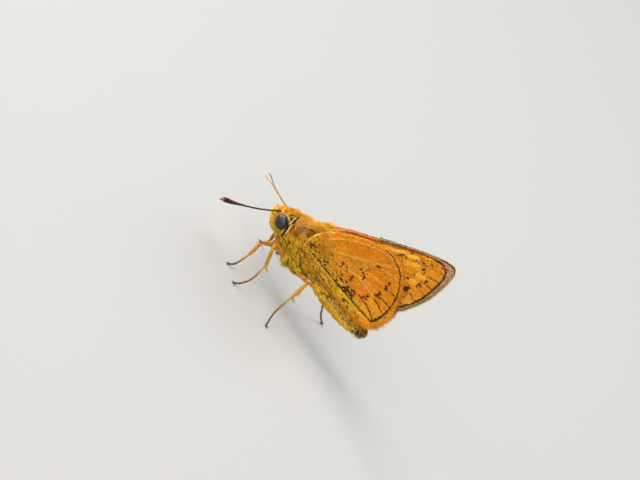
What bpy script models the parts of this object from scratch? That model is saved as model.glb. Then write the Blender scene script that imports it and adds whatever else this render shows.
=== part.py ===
"""Palm dart, a small orange skipper butterfly, life size, standing with its wings closed over its back.

Sizes are in millimetres in a frame with the floor at z = 0 and the middle plane of the body at y = 0.
The insect looks along -X, and its left side is the -Y side. The last step moves the model so that its
box stands centred on the origin, and turns the sizes into metres.
"""

import math

import bmesh
import bpy
import numpy as np
from mathutils import Vector
from mathutils.geometry import delaunay_2d_cdt

MM = 0.001
GAP = 0.28

# Wings
WING_HALF = 0.25        # half thickness of a membrane
RIM_HALF = 0.16         # half thickness at the fringe
RIM_WIDTH = 0.45        # how far in from the edge the fringe thins
VEIN_OUT = 0.13         # height of a vein ridge on the outer face
VEIN_IN = 0.04          # and on the inner face
VEIN_WIDE = 0.19        # half width of a vein ridge at its foot
FORE_Y = 0.42           # middle surface of a forewing from the middle plane
HIND_Y = 1.27           # middle surface of a hindwing from the middle plane
ROOT_OPEN = 0.50        # how much further out a wing lies at its root
BELLY_OPEN = 0.34       # and a hindwing beside the abdomen
FORE_TIP_OPEN = 0.13
HIND_TIP_OPEN = 0.10
VEIN_STEP = 0.95        # length of the steps along a branch of a vein
FILL_PITCH = 1.15       # spacing of the points between the veins

# Body
SQUARE = 2.1            # 2 is a round section, more is a squarer one
THORAX_WIDE = 1.65
ABDOMEN_WIDE = 1.06
EYE = (0.74, 0.62, 0.84)
EYE_AT = (-5.44, 1.22, 5.99)
EYE_TILT = 20
PALP_ROOT = (-4.86, 0.52, 4.74)
PALP_THICK = (0.30, 0.43, 0.46, 0.36)
PALP_TIP_THICK = (0.27, 0.23, 0.13)
SCUTELLUM = (0.70, 0.55, 0.42)
TEGULA = (0.78, 0.42, 0.46)

# Antennae
SCAPE = 0.32            # radius of the first joint
SHAFT = 0.235           # radius of the thread
RING = 1.08             # how much wider every second joint is
CLUB_THICK = (0.24, 0.32, 0.38, 0.36, 0.26, 0.17, 0.08)

# Legs
COXA = (0.62, 0.50, 0.52)
SOCKET = 0.12           # share of the way to the knee that the socket takes
TARSUS = 0.245          # radius of the foot
TARSUS_MARKS = (0, 0.36, 0.56, 0.73, 0.86, 1.0)
PAD = (0.34, 0.27, 0.24)
CLAW_THICK = (0.11, 0.09, 0.05)
SPUR_THICK = (0.17, 0.14, 0.06)

SHARP = 50              # edges sharper than this many degrees stay sharp

# Colour, roughness
LOOKS = {
    "coat": ((0.62, 0.30, 0.05), 0.9),
    "pale_coat": ((0.72, 0.50, 0.12), 0.9),
    "forewing": ((0.62, 0.28, 0.04), 0.75),
    "hindwing": ((0.66, 0.31, 0.04), 0.75),
    "eye": ((0.03, 0.03, 0.035), 0.15),
    "antenna": ((0.10, 0.07, 0.04), 0.7),
    "leg": ((0.50, 0.27, 0.06), 0.6),
}


def smooth(low, high, value):
    part = np.clip((np.asarray(value, float) - low) / (high - low), 0.0, 1.0)
    return part * part * (3.0 - 2.0 * part)


def curve(points, per, closed=False):
    """A smooth line through the points, with this many steps between each two."""
    points = np.array(points, float)
    count = len(points)
    spans = count if closed else count - 1
    made = []
    for i in range(spans):
        if closed:
            a, b, c, d = (points[(i + k) % count] for k in (-1, 0, 1, 2))
        else:
            b, c = points[i], points[i + 1]
            a = points[i - 1] if i else 2 * b - c
            d = points[i + 2] if i + 2 < count else 2 * c - b
        for k in range(per):
            t = k / per
            made.append(0.5 * (2 * b + (c - a) * t + (2 * a - 5 * b + 4 * c - d) * t * t
                               + (3 * b - a - 3 * c + d) * t ** 3))
    if not closed:
        made.append(points[-1])
    return np.array(made)


def mesh_object(name, points, faces):
    mesh = bpy.data.meshes.new(name)
    mesh.from_pydata([tuple(map(float, p)) for p in points], [], faces)
    mesh.validate()
    mesh.update()
    made = bpy.data.objects.new(name, mesh)
    bpy.context.scene.collection.objects.link(made)
    return made


def rings_object(name, rings, start, end):
    """A closed skin over rings of equally many points, with a point at each end."""
    sides = len(rings[0])
    points = [p for ring in rings for p in ring] + [start, end]
    first, last = len(points) - 2, len(points) - 1
    faces = []
    for r in range(len(rings) - 1):
        for s in range(sides):
            t = (s + 1) % sides
            a, b = r * sides + s, r * sides + t
            c, d = (r + 1) * sides + t, (r + 1) * sides + s
            faces.append((a, d, c))
            faces.append((a, c, b))
    base = (len(rings) - 1) * sides
    for s in range(sides):
        t = (s + 1) % sides
        faces.append((first, s, t))
        faces.append((last, base + t, base + s))
    made = mesh_object(name, points, faces)
    turn_out(made)
    return made


def turn_out(obj):
    """Makes the faces point outwards by the sign of the volume."""
    mesh = obj.data
    volume = 0.0
    for face in mesh.polygons:
        a, b, c = (mesh.vertices[i].co for i in face.vertices[:3])
        volume += a.dot(b.cross(c))
    if volume < 0:
        mesh.flip_normals()
        mesh.update()


def body_shape(name, stations, sides, per, grow=0.0):
    """A body part along X. A station is (x, z, half width, height up, height down, lean).

    A ring leans forwards at its top by lean times the height above its centre.
    """
    line = curve(stations, per)
    rings = []
    for x, z, wide, up, down, lean in line:
        ring = []
        for s in range(sides):
            angle = 2 * math.pi * s / sides
            c, w = math.cos(angle), math.sin(angle)
            c = math.copysign(abs(c) ** (2 / SQUARE), c)
            w = math.copysign(abs(w) ** (2 / SQUARE), w)
            high = ((up if w > 0 else down) + grow) * w
            ring.append((x - lean * high, (wide + grow) * c, z + high))
        rings.append(ring)
    x0, z0 = line[0][:2]
    x1, z1 = line[-1][:2]
    return rings_object(name, rings, (x0 - grow, 0, z0), (x1 + grow, 0, z1))


def block(name, low, high):
    points = [
        (x, y, z)
        for x in (low[0], high[0])
        for y in (low[1], high[1])
        for z in (low[2], high[2])
    ]
    faces = [(0, 1, 3, 2), (4, 6, 7, 5), (0, 4, 5, 1), (2, 3, 7, 6), (0, 2, 6, 4), (1, 5, 7, 3)]
    made = mesh_object(name, points, faces)
    turn_out(made)
    return made


def ellipsoid(name, centre, radii, tilt=0.0, rings=8, sides=14, grow=0.0):
    """An ellipsoid turned by tilt degrees in the XZ plane."""
    c, s = math.cos(math.radians(tilt)), math.sin(math.radians(tilt))
    radii = [r + grow for r in radii]

    def place(x, y, z):
        x, y, z = x * radii[0], y * radii[1], z * radii[2]
        return centre[0] + c * x - s * z, centre[1] + y, centre[2] + s * x + c * z

    made = []
    for r in range(1, rings):
        high = math.pi * r / rings
        made.append([
            place(math.cos(high), math.sin(high) * math.cos(2 * math.pi * k / sides),
                  math.sin(high) * math.sin(2 * math.pi * k / sides))
            for k in range(sides)
        ])
    return rings_object(name, made, place(1, 0, 0), place(-1, 0, 0))


def tube(name, points, radii, sides=8, per=1):
    """A limb along a smooth line, its ends rounded."""
    rows = np.hstack([np.array(points, float), np.array(radii, float)[:, None]])
    line = curve(rows, per)
    path, radius = line[:, :3], np.maximum(line[:, 3], 0.04)
    ways = np.gradient(path, axis=0)
    ways /= np.linalg.norm(ways, axis=1)[:, None]
    side = np.cross(ways[0], (0.0, 0.0, 1.0))
    if np.linalg.norm(side) < 0.2:
        side = np.cross(ways[0], (1.0, 0.0, 0.0))
    rings, spots = [], []
    for i, way in enumerate(ways):
        side = side - way * side.dot(way)
        side /= np.linalg.norm(side)
        spots.append((path[i], way, side.copy(), radius[i]))
    at, way, across, r = spots[0]
    spots.insert(0, (at - way * r * 0.62, way, across, r * 0.70))
    at, way, across, r = spots[-1]
    spots.append((at + way * r * 0.62, way, across, r * 0.70))
    for at, way, across, r in spots:
        up = np.cross(across, way)
        rings.append([
            at + r * (math.cos(2 * math.pi * k / sides) * across + math.sin(2 * math.pi * k / sides) * up)
            for k in range(sides)
        ])
    start = spots[0][0] - spots[0][1] * spots[0][3] * 0.30
    end = spots[-1][0] + spots[-1][1] * spots[-1][3] * 0.30
    return rings_object(name, rings, start, end)


def combine(base, others, operation="UNION", solver="EXACT"):
    """Joins the others to the base, or cuts them from it, and removes them."""
    group = bpy.data.collections.new("pieces")
    bpy.context.scene.collection.children.link(group)
    for other in others:
        bpy.context.scene.collection.objects.unlink(other)
        group.objects.link(other)
    change = base.modifiers.new("change", "BOOLEAN")
    change.operation = operation
    change.solver = solver
    change.operand_type = "COLLECTION"
    change.collection = group
    bpy.context.view_layer.update()
    seen = base.evaluated_get(bpy.context.evaluated_depsgraph_get())
    made = bpy.data.meshes.new_from_object(seen)
    base.modifiers.clear()
    base.data = made
    for other in others:
        bpy.data.objects.remove(other)
    bpy.data.collections.remove(group)
    return keep_main(base)


def keep_main(obj):
    """Drops the crumbs that a cut leaves beside the main body."""
    mesh = obj.data
    label = list(range(len(mesh.vertices)))

    def top(i):
        while label[i] != i:
            label[i] = label[label[i]]
            i = label[i]
        return i

    for edge in mesh.edges:
        a, b = (top(i) for i in edge.vertices)
        label[a] = b
    sizes = {}
    for i in range(len(label)):
        sizes[top(i)] = sizes.get(top(i), 0) + 1
    main = max(sizes, key=sizes.get)
    if len(sizes) > 1:
        shape = bmesh.new()
        shape.from_mesh(mesh)
        shape.verts.ensure_lookup_table()
        crumbs = [shape.verts[i] for i in range(len(label)) if top(i) != main]
        bmesh.ops.delete(shape, geom=crumbs, context="VERTS")
        shape.to_mesh(mesh)
        shape.free()
    return obj


# Wings, seen from the side: points are (x, z)

FORE_EDGE = [
    (-3.05, 7.75), (-2.55, 8.85), (-1.90, 9.75), (-0.85, 10.95), (0.35, 11.95), (1.95, 13.25),
    (3.60, 14.62), (5.24, 15.98), (6.55, 16.92), (7.60, 17.50), (8.35, 17.68), (8.92, 17.38),
    (9.30, 16.60), (9.53, 15.40), (9.56, 13.95), (9.36, 12.45), (9.06, 11.20), (8.72, 10.20),
    (7.60, 9.72), (5.40, 9.30), (3.00, 8.85), (0.80, 8.40), (-0.70, 8.05), (-1.70, 7.60),
]
HIND_EDGE = [
    (-2.20, 6.45), (-2.50, 7.20), (-2.56, 7.95), (-2.18, 9.20), (-1.25, 10.48), (-0.05, 11.62),
    (1.25, 12.64), (2.35, 13.28), (3.45, 13.78), (4.65, 14.00), (5.70, 13.66), (6.62, 13.05),
    (7.50, 12.10), (8.24, 10.98), (8.66, 9.80), (8.76, 8.62), (8.62, 7.60), (8.16, 6.82),
    (7.40, 6.42), (6.00, 6.18), (4.20, 5.98), (2.20, 5.78), (0.40, 5.85), (-1.20, 6.10),
]

# The cell of a wing runs out from its root. The other veins leave the cell, or the root, for the margin.
FORE_ROOT = (-2.30, 8.20)
FORE_CELL = [
    [FORE_ROOT, (-0.60, 10.20), (1.20, 11.75), (3.00, 13.15), (4.40, 14.10)],
    [FORE_ROOT, (-0.50, 9.30), (1.60, 10.60), (3.40, 11.75), (4.75, 12.95)],
    [(4.40, 14.10), (4.80, 13.60), (4.75, 12.95)],
]
FORE_ENDS = [
    ((-2.00, 8.10), (8.95, 11.20)), ((2.60, 11.25), (9.25, 12.35)), ((4.05, 12.30), (9.45, 13.50)),
    ((4.75, 12.95), (9.50, 14.75)), ((4.80, 13.50), (9.42, 15.95)), ((4.40, 14.10), (9.05, 16.90)),
    ((4.40, 14.10), (8.40, 17.50)), ((3.40, 13.45), (7.10, 17.10)), ((2.40, 12.70), (4.70, 15.25)),
]
HIND_ROOT = (-1.70, 7.30)
HIND_CELL = [
    [HIND_ROOT, (-1.30, 8.90), (-0.20, 10.60), (1.30, 12.05), (3.00, 13.10), (4.70, 13.75)],
    [HIND_ROOT, (-0.20, 8.60), (1.20, 9.75), (2.60, 10.95)],
    [HIND_ROOT, (0.20, 8.05), (2.10, 8.75), (3.55, 9.40)],
    [(2.60, 10.95), (3.30, 10.45), (3.55, 9.40)],
]
HIND_ENDS = [
    ((0.70, 9.35), (5.55, 13.55)), ((2.60, 10.95), (6.75, 12.80)), ((3.35, 10.20), (7.85, 11.50)),
    ((3.55, 9.40), (8.50, 10.25)), ((2.60, 9.00), (8.68, 9.05)), ((-1.40, 7.10), (8.65, 7.95)),
    ((-1.20, 6.75), (8.20, 7.10)),
]


def vein_lines(root, cell, ends):
    """The lines of a wing's veins. A branch leaves along the line from the root and bends to its end."""
    lines = [curve(points, 2) for points in cell]
    root = np.array(root)
    for start, end in ends:
        start, end = np.array(start), np.array(end)
        length = np.linalg.norm(end - start)
        way = start - root
        reach = np.linalg.norm(way)
        bend = start + way / reach * length * 0.35 if reach > 1 else (start * 0.65 + end * 0.35)
        steps = max(3, round(length / VEIN_STEP))
        t = np.linspace(0, 1, steps + 1)[:, None]
        lines.append((1 - t) ** 2 * start + 2 * t * (1 - t) * bend + t * t * end)
    return lines


def fore_depth(x, z):
    """Distance of a forewing's middle surface from the middle plane."""
    root = np.hypot(x + 2.7, z - 7.8)
    return FORE_Y + ROOT_OPEN * (1 - smooth(0.4, 2.4, root)) + FORE_TIP_OPEN * smooth(12.5, 17.0, z)


def hind_depth(x, z):
    """Distance of a hindwing's middle surface from the middle plane: it opens round the abdomen."""
    root = np.hypot(x + 2.1, z - 6.9)
    belly = BELLY_OPEN * (1 - smooth(6.1, 8.0, z))
    tip = HIND_TIP_OPEN * smooth(3.0, 8.5, x) * smooth(8.0, 12.0, z)
    return HIND_Y + np.maximum(ROOT_OPEN * (1 - smooth(0.4, 3.0, root)), belly) + tip


def distance_to(points, line):
    """Distance of each point from a line of short straight steps."""
    best = np.full(len(points), 1e9)
    for a, b in zip(line[:-1], line[1:]):
        way = b - a
        part = np.clip(((points - a) @ way) / max(way @ way, 1e-12), 0, 1)
        best = np.minimum(best, np.linalg.norm(points - a - part[:, None] * way, axis=1))
    return best


def inside(points, loop):
    """Which of the points lie inside a closed loop."""
    found = np.zeros(len(points), bool)
    for a, b in zip(loop, np.roll(loop, -1, axis=0)):
        across = (a[1] > points[:, 1]) != (b[1] > points[:, 1])
        level = (b[0] - a[0]) * (points[:, 1] - a[1]) / ((b[1] - a[1]) or 1e-12) + a[0]
        found ^= across & (points[:, 0] < level)
    return found


def offset_loop(loop, distance):
    """The loop moved inwards, or outwards for a negative distance."""
    ways = np.roll(loop, -1, axis=0) - np.roll(loop, 1, axis=0)
    normals = np.stack([ways[:, 1], -ways[:, 0]], axis=1)
    normals /= np.linalg.norm(normals, axis=1)[:, None]
    area = np.sum(loop[:, 0] * np.roll(loop[:, 1], -1) - np.roll(loop[:, 0], -1) * loop[:, 1])
    return loop - normals * distance * (1 if area > 0 else -1)


def ring_of(loop):
    """The loop with its first point again at its end."""
    return np.vstack([loop, loop[:1]])


def vein_rows(lines, loop):
    """Three rows of points along each vein, inside the loop, and the edges that join them."""
    points, edges = [], []
    for line in lines:
        ways = np.gradient(line, axis=0)
        ways /= np.linalg.norm(ways, axis=1)[:, None]
        across = np.stack([ways[:, 1], -ways[:, 0]], axis=1)
        for shift in (-VEIN_WIDE, 0, VEIN_WIDE):
            row = line + across * shift
            keep = inside(row, loop) & (distance_to(row, ring_of(loop)) > 0.12)
            last = None
            for point, good in zip(row, keep):
                if good:
                    points.append(point)
                    if last is not None:
                        edges.append((last, len(points) - 1))
                last = len(points) - 1 if good else None
    return points, edges


def filling(lines, loop, pitch):
    """Points spread between the veins, and a row just inside the thinner edge."""
    rows = np.arange(5.0, 18.5, pitch * 0.87)
    places = np.arange(-3.5, 10.0, pitch)
    grid = np.array([(x + (j % 2) * pitch / 2, z) for j, z in enumerate(rows) for x in places])
    border = offset_loop(loop, RIM_WIDTH)[::2]
    free = inside(grid, loop) & (distance_to(grid, ring_of(loop)) > 0.8)
    free_border = inside(border, loop) & (distance_to(border, ring_of(loop)) > 0.3)
    for line in lines:
        free &= distance_to(grid, line) > 0.55
        free_border &= distance_to(border, line) > 0.35
    return list(grid[free]) + list(border[free_border])


def wing(name, edge, lines, depth, side, grow=0.0):
    """A wing: both faces carry the same triangles, with the veins raised in them."""
    loop = curve(edge, 2 if grow else 3, closed=True)
    if grow:
        loop = offset_loop(loop, -grow)
    count = len(loop)
    points, edges = vein_rows(lines, loop)
    edges = [(i, (i + 1) % count) for i in range(count)] + [(a + count, b + count) for a, b in edges]
    points = [Vector(p) for p in list(loop) + points + filling(lines, loop, FILL_PITCH)]
    flat, _, faces, *_ = delaunay_2d_cdt(points, edges, [list(range(count))], 1, 1e-5)
    flat = np.array([tuple(p) for p in flat])
    faces = [tuple(f) for f in faces]

    rim = distance_to(flat, ring_of(loop))
    half = RIM_HALF + (WING_HALF - RIM_HALF) * np.clip(rim / RIM_WIDTH, 0, 1) + grow
    raised = np.zeros(len(flat))
    for line in lines:
        raised = np.maximum(raised, np.clip(1 - distance_to(flat, line) / VEIN_WIDE, 0, 1))
    raised *= np.clip(rim / 0.5, 0, 1)
    middle = depth(flat[:, 0], flat[:, 1])
    outer = np.column_stack([flat[:, 0], side * (middle + half + VEIN_OUT * raised), flat[:, 1]])
    inner = np.column_stack([flat[:, 0], side * (middle - half - VEIN_IN * raised), flat[:, 1]])

    n = len(flat)
    skin = faces + [tuple(n + i for i in reversed(face)) for face in faces]
    sides = {pair for face in faces for pair in zip(face, face[1:] + face[:1])}
    for a, b in sorted(sides):
        if (b, a) not in sides:
            skin += [(b, a, n + a), (b, n + a, n + b)]
    made = mesh_object(name, np.vstack([outer, inner]), skin)
    turn_out(made)
    return made


# Legs: points are (x, distance from the middle plane, z)

LEGS = {
    "fore": dict(
        root=(-4.02, 0.85, 3.72), knee=(-5.03, 2.00, 3.26), heel=(-4.76, 2.90, 1.95),
        foot=[(-4.78, 3.70, 0.98), (-4.88, 4.10, 0.42), (-5.18, 4.42, 0.17)],
        thick=(0.31, 0.27), spurs=[],
    ),
    "mid": dict(
        root=(-2.50, 1.05, 3.85), knee=(-4.20, 2.40, 4.70), heel=(-2.93, 3.60, 2.98),
        foot=[(-2.64, 4.75, 1.55), (-2.85, 5.50, 0.66), (-3.29, 6.00, 0.17)],
        thick=(0.33, 0.28), spurs=[(0.85, -0.25, -0.30)],
    ),
    "hind": dict(
        root=(-0.70, 0.95, 4.05), knee=(0.98, 2.10, 4.80), heel=(1.18, 4.00, 3.50),
        foot=[(1.27, 4.70, 2.25), (1.46, 5.25, 1.20), (1.94, 5.80, 0.17)],
        thick=(0.34, 0.30), spurs=[(0.75, 0.25, -0.20), (0.60, 0.30, -0.35)],
    ),
    "hind_far": dict(
        root=(-0.70, 0.95, 4.05), knee=(1.60, 2.05, 4.60), heel=(3.20, 3.20, 2.90),
        foot=[(3.90, 3.75, 1.75), (4.45, 4.25, 0.85), (5.15, 4.80, 0.17)],
        thick=(0.34, 0.30), spurs=[(0.70, 0.25, -0.30), (0.60, 0.10, -0.45)],
    ),
}


def on_side(point, side):
    return (point[0], side * point[1], point[2])


def leg_start(kind, side):
    """Where a leg leaves its socket, and its knee."""
    root, knee = (np.array(on_side(LEGS[kind][k], side)) for k in ("root", "knee"))
    return root + (knee - root) * SOCKET, knee


def tarsus(name, heel, foot):
    """Five joints along a bent line from the heel, each a little wider at its far end."""
    path = curve([heel] + foot, 10)
    along = np.concatenate([[0], np.cumsum(np.linalg.norm(np.diff(path, axis=0), axis=1))])
    marks = np.array(TARSUS_MARKS) * along[-1]
    made = []
    for a, b in zip(marks[:-1], marks[1:]):
        spots = [[np.interp(v, along, path[:, k]) for k in range(3)] for v in (a, (a + b) / 2, b)]
        made.append(tube(name, spots, [TARSUS * 0.84, TARSUS * 0.94, TARSUS * 1.06], sides=6))
    way = path[-1] - path[-6]
    way[2] = 0
    return made, way / np.linalg.norm(way)


def claw(name, toe, way, across):
    """One claw, up and out from the toe and then down to its point."""
    a = toe + way * 0.18 + across * 0.10
    b = a + way * 0.20 + across * 0.10 + np.array((0, 0, 0.06))
    c = b + way * 0.11 + across * 0.02 - np.array((0, 0, 0.12))
    return tube(name, [a, b, c], CLAW_THICK, sides=5)


def leg(name, kind, side):
    """One leg, from femur to claws, with a small flat under the foot."""
    form = LEGS[kind]
    start, knee = leg_start(kind, side)
    heel = np.array(on_side(form["heel"], side))
    foot = [np.array(on_side(p, side)) for p in form["foot"]]
    femur, tibia = form["thick"]
    middle = start * 0.55 + knee * 0.45
    calf = knee * 0.45 + heel * 0.55
    pieces, way = tarsus(name + "_tarsus", heel, foot)
    shin = [tibia * 0.84, tibia * 1.08, tibia * 0.94]
    pieces.append(tube(name + "_tibia", [knee, calf, heel], shin, per=2))
    pieces.append(ellipsoid(name + "_pad", tuple(foot[-1] + way * 0.10), PAD, rings=5, sides=9))
    across = np.cross(way, (0, 0, 1))
    pieces += [claw(name + "_claw", foot[-1], way, across * turn) for turn in (-1, 1)]
    for i, spur in enumerate(form["spurs"]):
        base = knee * (0.06 + 0.36 * i) + heel * (0.94 - 0.36 * i)
        tip = base + np.array((spur[0], side * -spur[1], spur[2]))
        pieces.append(tube(name + "_spur", [base, (base + tip) / 2, tip], SPUR_THICK, sides=5))
    thigh = [femur * 0.95, femur * 1.06, femur * 0.80]
    made = tube(name, [start, middle, knee], thigh, per=2)
    combine(made, pieces)
    return combine(made, [block("under", (-14, -9, -3), (14, 9, 0))], "DIFFERENCE")


# Body parts along X: (x, z, half width, height up, height down, lean)

THORAX = [
    (-4.86, 5.80, 0.35, 0.40, 0.40, 0.10), (-4.82, 5.80, 1.05, 1.30, 1.25, 0.16),
    (-4.60, 5.82, 1.32, 1.86, 1.90, 0.24), (-4.15, 5.88, 1.46, 2.30, 2.14, 0.26),
    (-3.35, 5.92, 1.60, 2.72, 2.20, 0.14), (-2.35, 5.92, THORAX_WIDE, 2.90, 2.22, 0),
    (-1.30, 5.85, 1.60, 2.56, 2.14, 0), (-0.40, 5.72, 1.45, 1.92, 1.98, 0),
    (0.25, 5.55, 1.25, 1.46, 1.72, 0), (0.72, 5.40, 1.05, 1.16, 1.38, 0),
    (0.92, 5.32, 0.70, 0.80, 0.95, 0), (0.97, 5.30, 0.30, 0.35, 0.40, 0),
]
ABDOMEN = [
    (0.62, 5.32, 0.30, 0.34, 0.40, 0), (0.72, 5.32, 0.72, 0.82, 0.92, 0),
    (1.20, 5.30, 0.96, 1.05, 1.22, 0), (2.20, 5.20, ABDOMEN_WIDE, 1.16, 1.28, 0),
    (3.40, 5.14, 1.08, 1.18, 1.28, 0), (4.60, 5.15, 1.06, 1.15, 1.22, 0),
    (5.70, 5.20, 1.00, 1.10, 1.15, 0), (6.60, 5.28, 0.92, 1.02, 1.06, 0),
    (7.40, 5.38, 0.82, 0.92, 0.94, 0), (8.00, 5.50, 0.66, 0.78, 0.72, 0),
    (8.38, 5.62, 0.50, 0.56, 0.50, 0), (8.52, 5.68, 0.22, 0.25, 0.24, 0),
]
SEGMENT_ENDS = (1.25, 2.25, 3.25, 4.25, 5.25, 6.10, 6.85, 7.45, 7.95)


def abdomen_shape(name, grow=0.0):
    """The abdomen, with a small step down at the rear edge of each segment."""
    base = curve(ABDOMEN, 8)
    starts = (0.72,) + SEGMENT_ENDS
    marks = [base[0, 0], 0.68, 0.74, 0.95, 8.20, 8.38, 8.48, base[-1, 0]]
    for end in SEGMENT_ENDS:
        marks += [end - 0.05, end + 0.05]
    rows = []
    for x in sorted(marks):
        row = [np.interp(x, base[:, 0], base[:, k]) for k in range(6)]
        swell = 1.0
        for a, b in zip(starts[:-1], starts[1:]):
            if a < x < b:
                swell = 0.965 + 0.06 * (x - a) / (b - a)
        rows.append(row[:2] + [v * swell for v in row[2:5]] + [0])
    return body_shape(name, rows, 18, 1, grow)


HEAD = [
    (-6.86, 5.95, 0.30, 0.25, 0.30, 0), (-6.78, 5.96, 0.66, 0.60, 0.62, 0),
    (-6.46, 6.00, 0.95, 0.94, 0.92, 0), (-6.00, 6.05, 1.16, 1.18, 1.12, 0),
    (-5.50, 6.05, 1.22, 1.26, 1.20, 0), (-5.12, 6.00, 1.10, 1.10, 1.10, 0),
    (-4.94, 5.95, 0.70, 0.72, 0.72, 0), (-4.90, 5.93, 0.28, 0.30, 0.30, 0),
]


def head_shape(name, grow=0.0):
    return body_shape(name, HEAD, 18, 2, grow)


def palp(name, side, grow=0.0):
    """A palp: a thick bushy second joint under the face and a short third joint pointing up in front."""
    root = on_side(PALP_ROOT, side)
    y = root[1]
    path = [root, (-5.36, y * 1.05, 4.72), (-5.94, y, 4.88), (-6.50, y * 0.95, 5.32)]
    tip = [(-6.60, y, 5.40), (-6.88, y, 5.70), (-7.04, y, 6.02)]
    second = tube(name, path, [thick + grow for thick in PALP_THICK], sides=12, per=2)
    third = tube(name + "_tip", tip, [thick + grow for thick in PALP_TIP_THICK])
    return combine(second, [third])


ANTENNA = {
    -1: dict(
        shaft=[(-6.42, -0.62, 6.42), (-7.10, -1.40, 5.82), (-7.78, -2.30, 5.42), (-8.54, -3.20, 5.08),
               (-9.10, -3.78, 4.82)],
        club=[(-9.00, -3.68, 4.86), (-9.45, -4.12, 4.66), (-9.95, -4.60, 4.47), (-10.38, -4.98, 4.34),
              (-10.68, -5.24, 4.27), (-10.80, -5.42, 4.16), (-10.84, -5.60, 3.98)],
    ),
    1: dict(
        shaft=[(-6.40, 0.62, 6.54), (-7.02, 1.20, 6.32), (-7.92, 2.20, 5.93), (-8.62, 3.10, 5.58),
               (-9.06, 3.68, 5.37)],
        club=[(-8.98, 3.58, 5.41), (-9.34, 4.04, 5.25), (-9.68, 4.48, 5.10), (-9.98, 4.86, 4.96),
              (-10.20, 5.12, 4.86), (-10.30, 5.30, 4.74), (-10.32, 5.46, 4.58)],
    ),
}


def antenna(name, side):
    """A thread of short joints that thickens into a club with a hooked point."""
    form = ANTENNA[side]
    shaft = curve(form["shaft"], 4)
    radii = [SHAFT * (RING if i % 2 else 1.0) for i in range(len(shaft))]
    thread = tube(name, shaft, radii, sides=7)
    club = tube(name + "_club", form["club"], CLUB_THICK, sides=9)
    scape = ellipsoid(name + "_scape", form["shaft"][0], (SCAPE,) * 3, rings=5, sides=9)
    return combine(thread, [club, scape])


def head():
    """The head, cut clear of the eyes, the palps and the antennae's roots."""
    made = head_shape("head")
    rooms = []
    for side in (-1, 1):
        shaft = ANTENNA[side]["shaft"]
        rooms += [
            ellipsoid("socket", on_side(EYE_AT, side), EYE, EYE_TILT, rings=8, sides=14, grow=GAP),
            palp("palp_room", side, GAP),
            ellipsoid("pit", shaft[0], (SCAPE,) * 3, rings=6, sides=12, grow=GAP),
            tube("pit", shaft[:2], [SHAFT * 1.1 + GAP] * 2),
        ]
    return combine(made, rooms, "DIFFERENCE")


def thorax(legs):
    """The thorax with its coxae and wing lobes, cut clear of all that it meets."""
    made = body_shape("thorax", THORAX, 22, 2)
    lobes = [ellipsoid("scutellum", (-0.90, 0, 7.70), SCUTELLUM, -28, rings=6, sides=12)]
    rooms = [head_shape("head_room", GAP), abdomen_shape("abdomen_room", GAP)]
    for side in (-1, 1):
        lobes.append(ellipsoid("tegula", (-3.05, side * 1.10, 7.60), TEGULA, -12, rings=6, sides=12))
        rooms.append(ellipsoid("socket", on_side(EYE_AT, side), EYE, EYE_TILT, rings=8, sides=14, grow=GAP))
        rooms.append(palp("palp_room", side, GAP))
        rooms.append(wing("wing_room", FORE_EDGE, [], fore_depth, side, GAP))
        rooms.append(wing("wing_room", HIND_EDGE, [], hind_depth, side, GAP))
    for kind, side in legs:
        x, y, z = LEGS[kind]["root"]
        lobes.append(ellipsoid("coxa", (x + 0.15, side * (y - 0.22), z + 0.18), COXA, rings=6, sides=12))
        start, knee = leg_start(kind, side)
        size = LEGS[kind]["thick"][0] + GAP
        rooms.append(tube("leg_room", [start, start * 0.6 + knee * 0.4], [size, size], sides=10))
    combine(made, lobes)
    return combine(made, rooms, "DIFFERENCE")


def build():
    """All nodes, as (object, look, the point that it is placed by)."""
    fore_veins = vein_lines(FORE_ROOT, FORE_CELL, FORE_ENDS)
    hind_veins = vein_lines(HIND_ROOT, HIND_CELL, HIND_ENDS)
    nodes, legs = [], []
    for side, word in ((-1, "left"), (1, "right")):
        fore_root = (FORE_ROOT[0], side * FORE_Y, FORE_ROOT[1])
        hind_root = (HIND_ROOT[0], side * HIND_Y, HIND_ROOT[1])
        eye_at = on_side(EYE_AT, side)
        nodes += [
            (wing("forewing_" + word, FORE_EDGE, fore_veins, fore_depth, side), "forewing", fore_root),
            (wing("hindwing_" + word, HIND_EDGE, hind_veins, hind_depth, side), "hindwing", hind_root),
            (antenna("antenna_" + word, side), "antenna", ANTENNA[side]["shaft"][0]),
            (palp("palp_" + word, side), "pale_coat", on_side(PALP_ROOT, side)),
            (ellipsoid("eye_" + word, eye_at, EYE, EYE_TILT, 10, 16), "eye", eye_at),
        ]
        hind_kind = "hind" if side < 0 else "hind_far"
        for place, kind in (("fore", "fore"), ("mid", "mid"), ("hind", hind_kind)):
            made = leg(f"leg_{place}_{word}", kind, side)
            nodes.append((made, "leg", on_side(LEGS[kind]["root"], side)))
            legs.append((kind, side))
    nodes += [
        (head(), "coat", (-5.50, 0, 6.05)),
        (thorax(legs), "coat", (-2.35, 0, 5.92)),
        (abdomen_shape("abdomen"), "coat", (0.72, 0, 5.32)),
    ]
    return nodes


def material(look):
    made = bpy.data.materials.new(look)
    made.use_nodes = True
    shader = made.node_tree.nodes["Principled BSDF"]
    colour, roughness = LOOKS[look]
    shader.inputs["Base Color"].default_value = (*colour, 1)
    shader.inputs["Roughness"].default_value = roughness
    shader.inputs["Metallic"].default_value = 0
    return made


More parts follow.
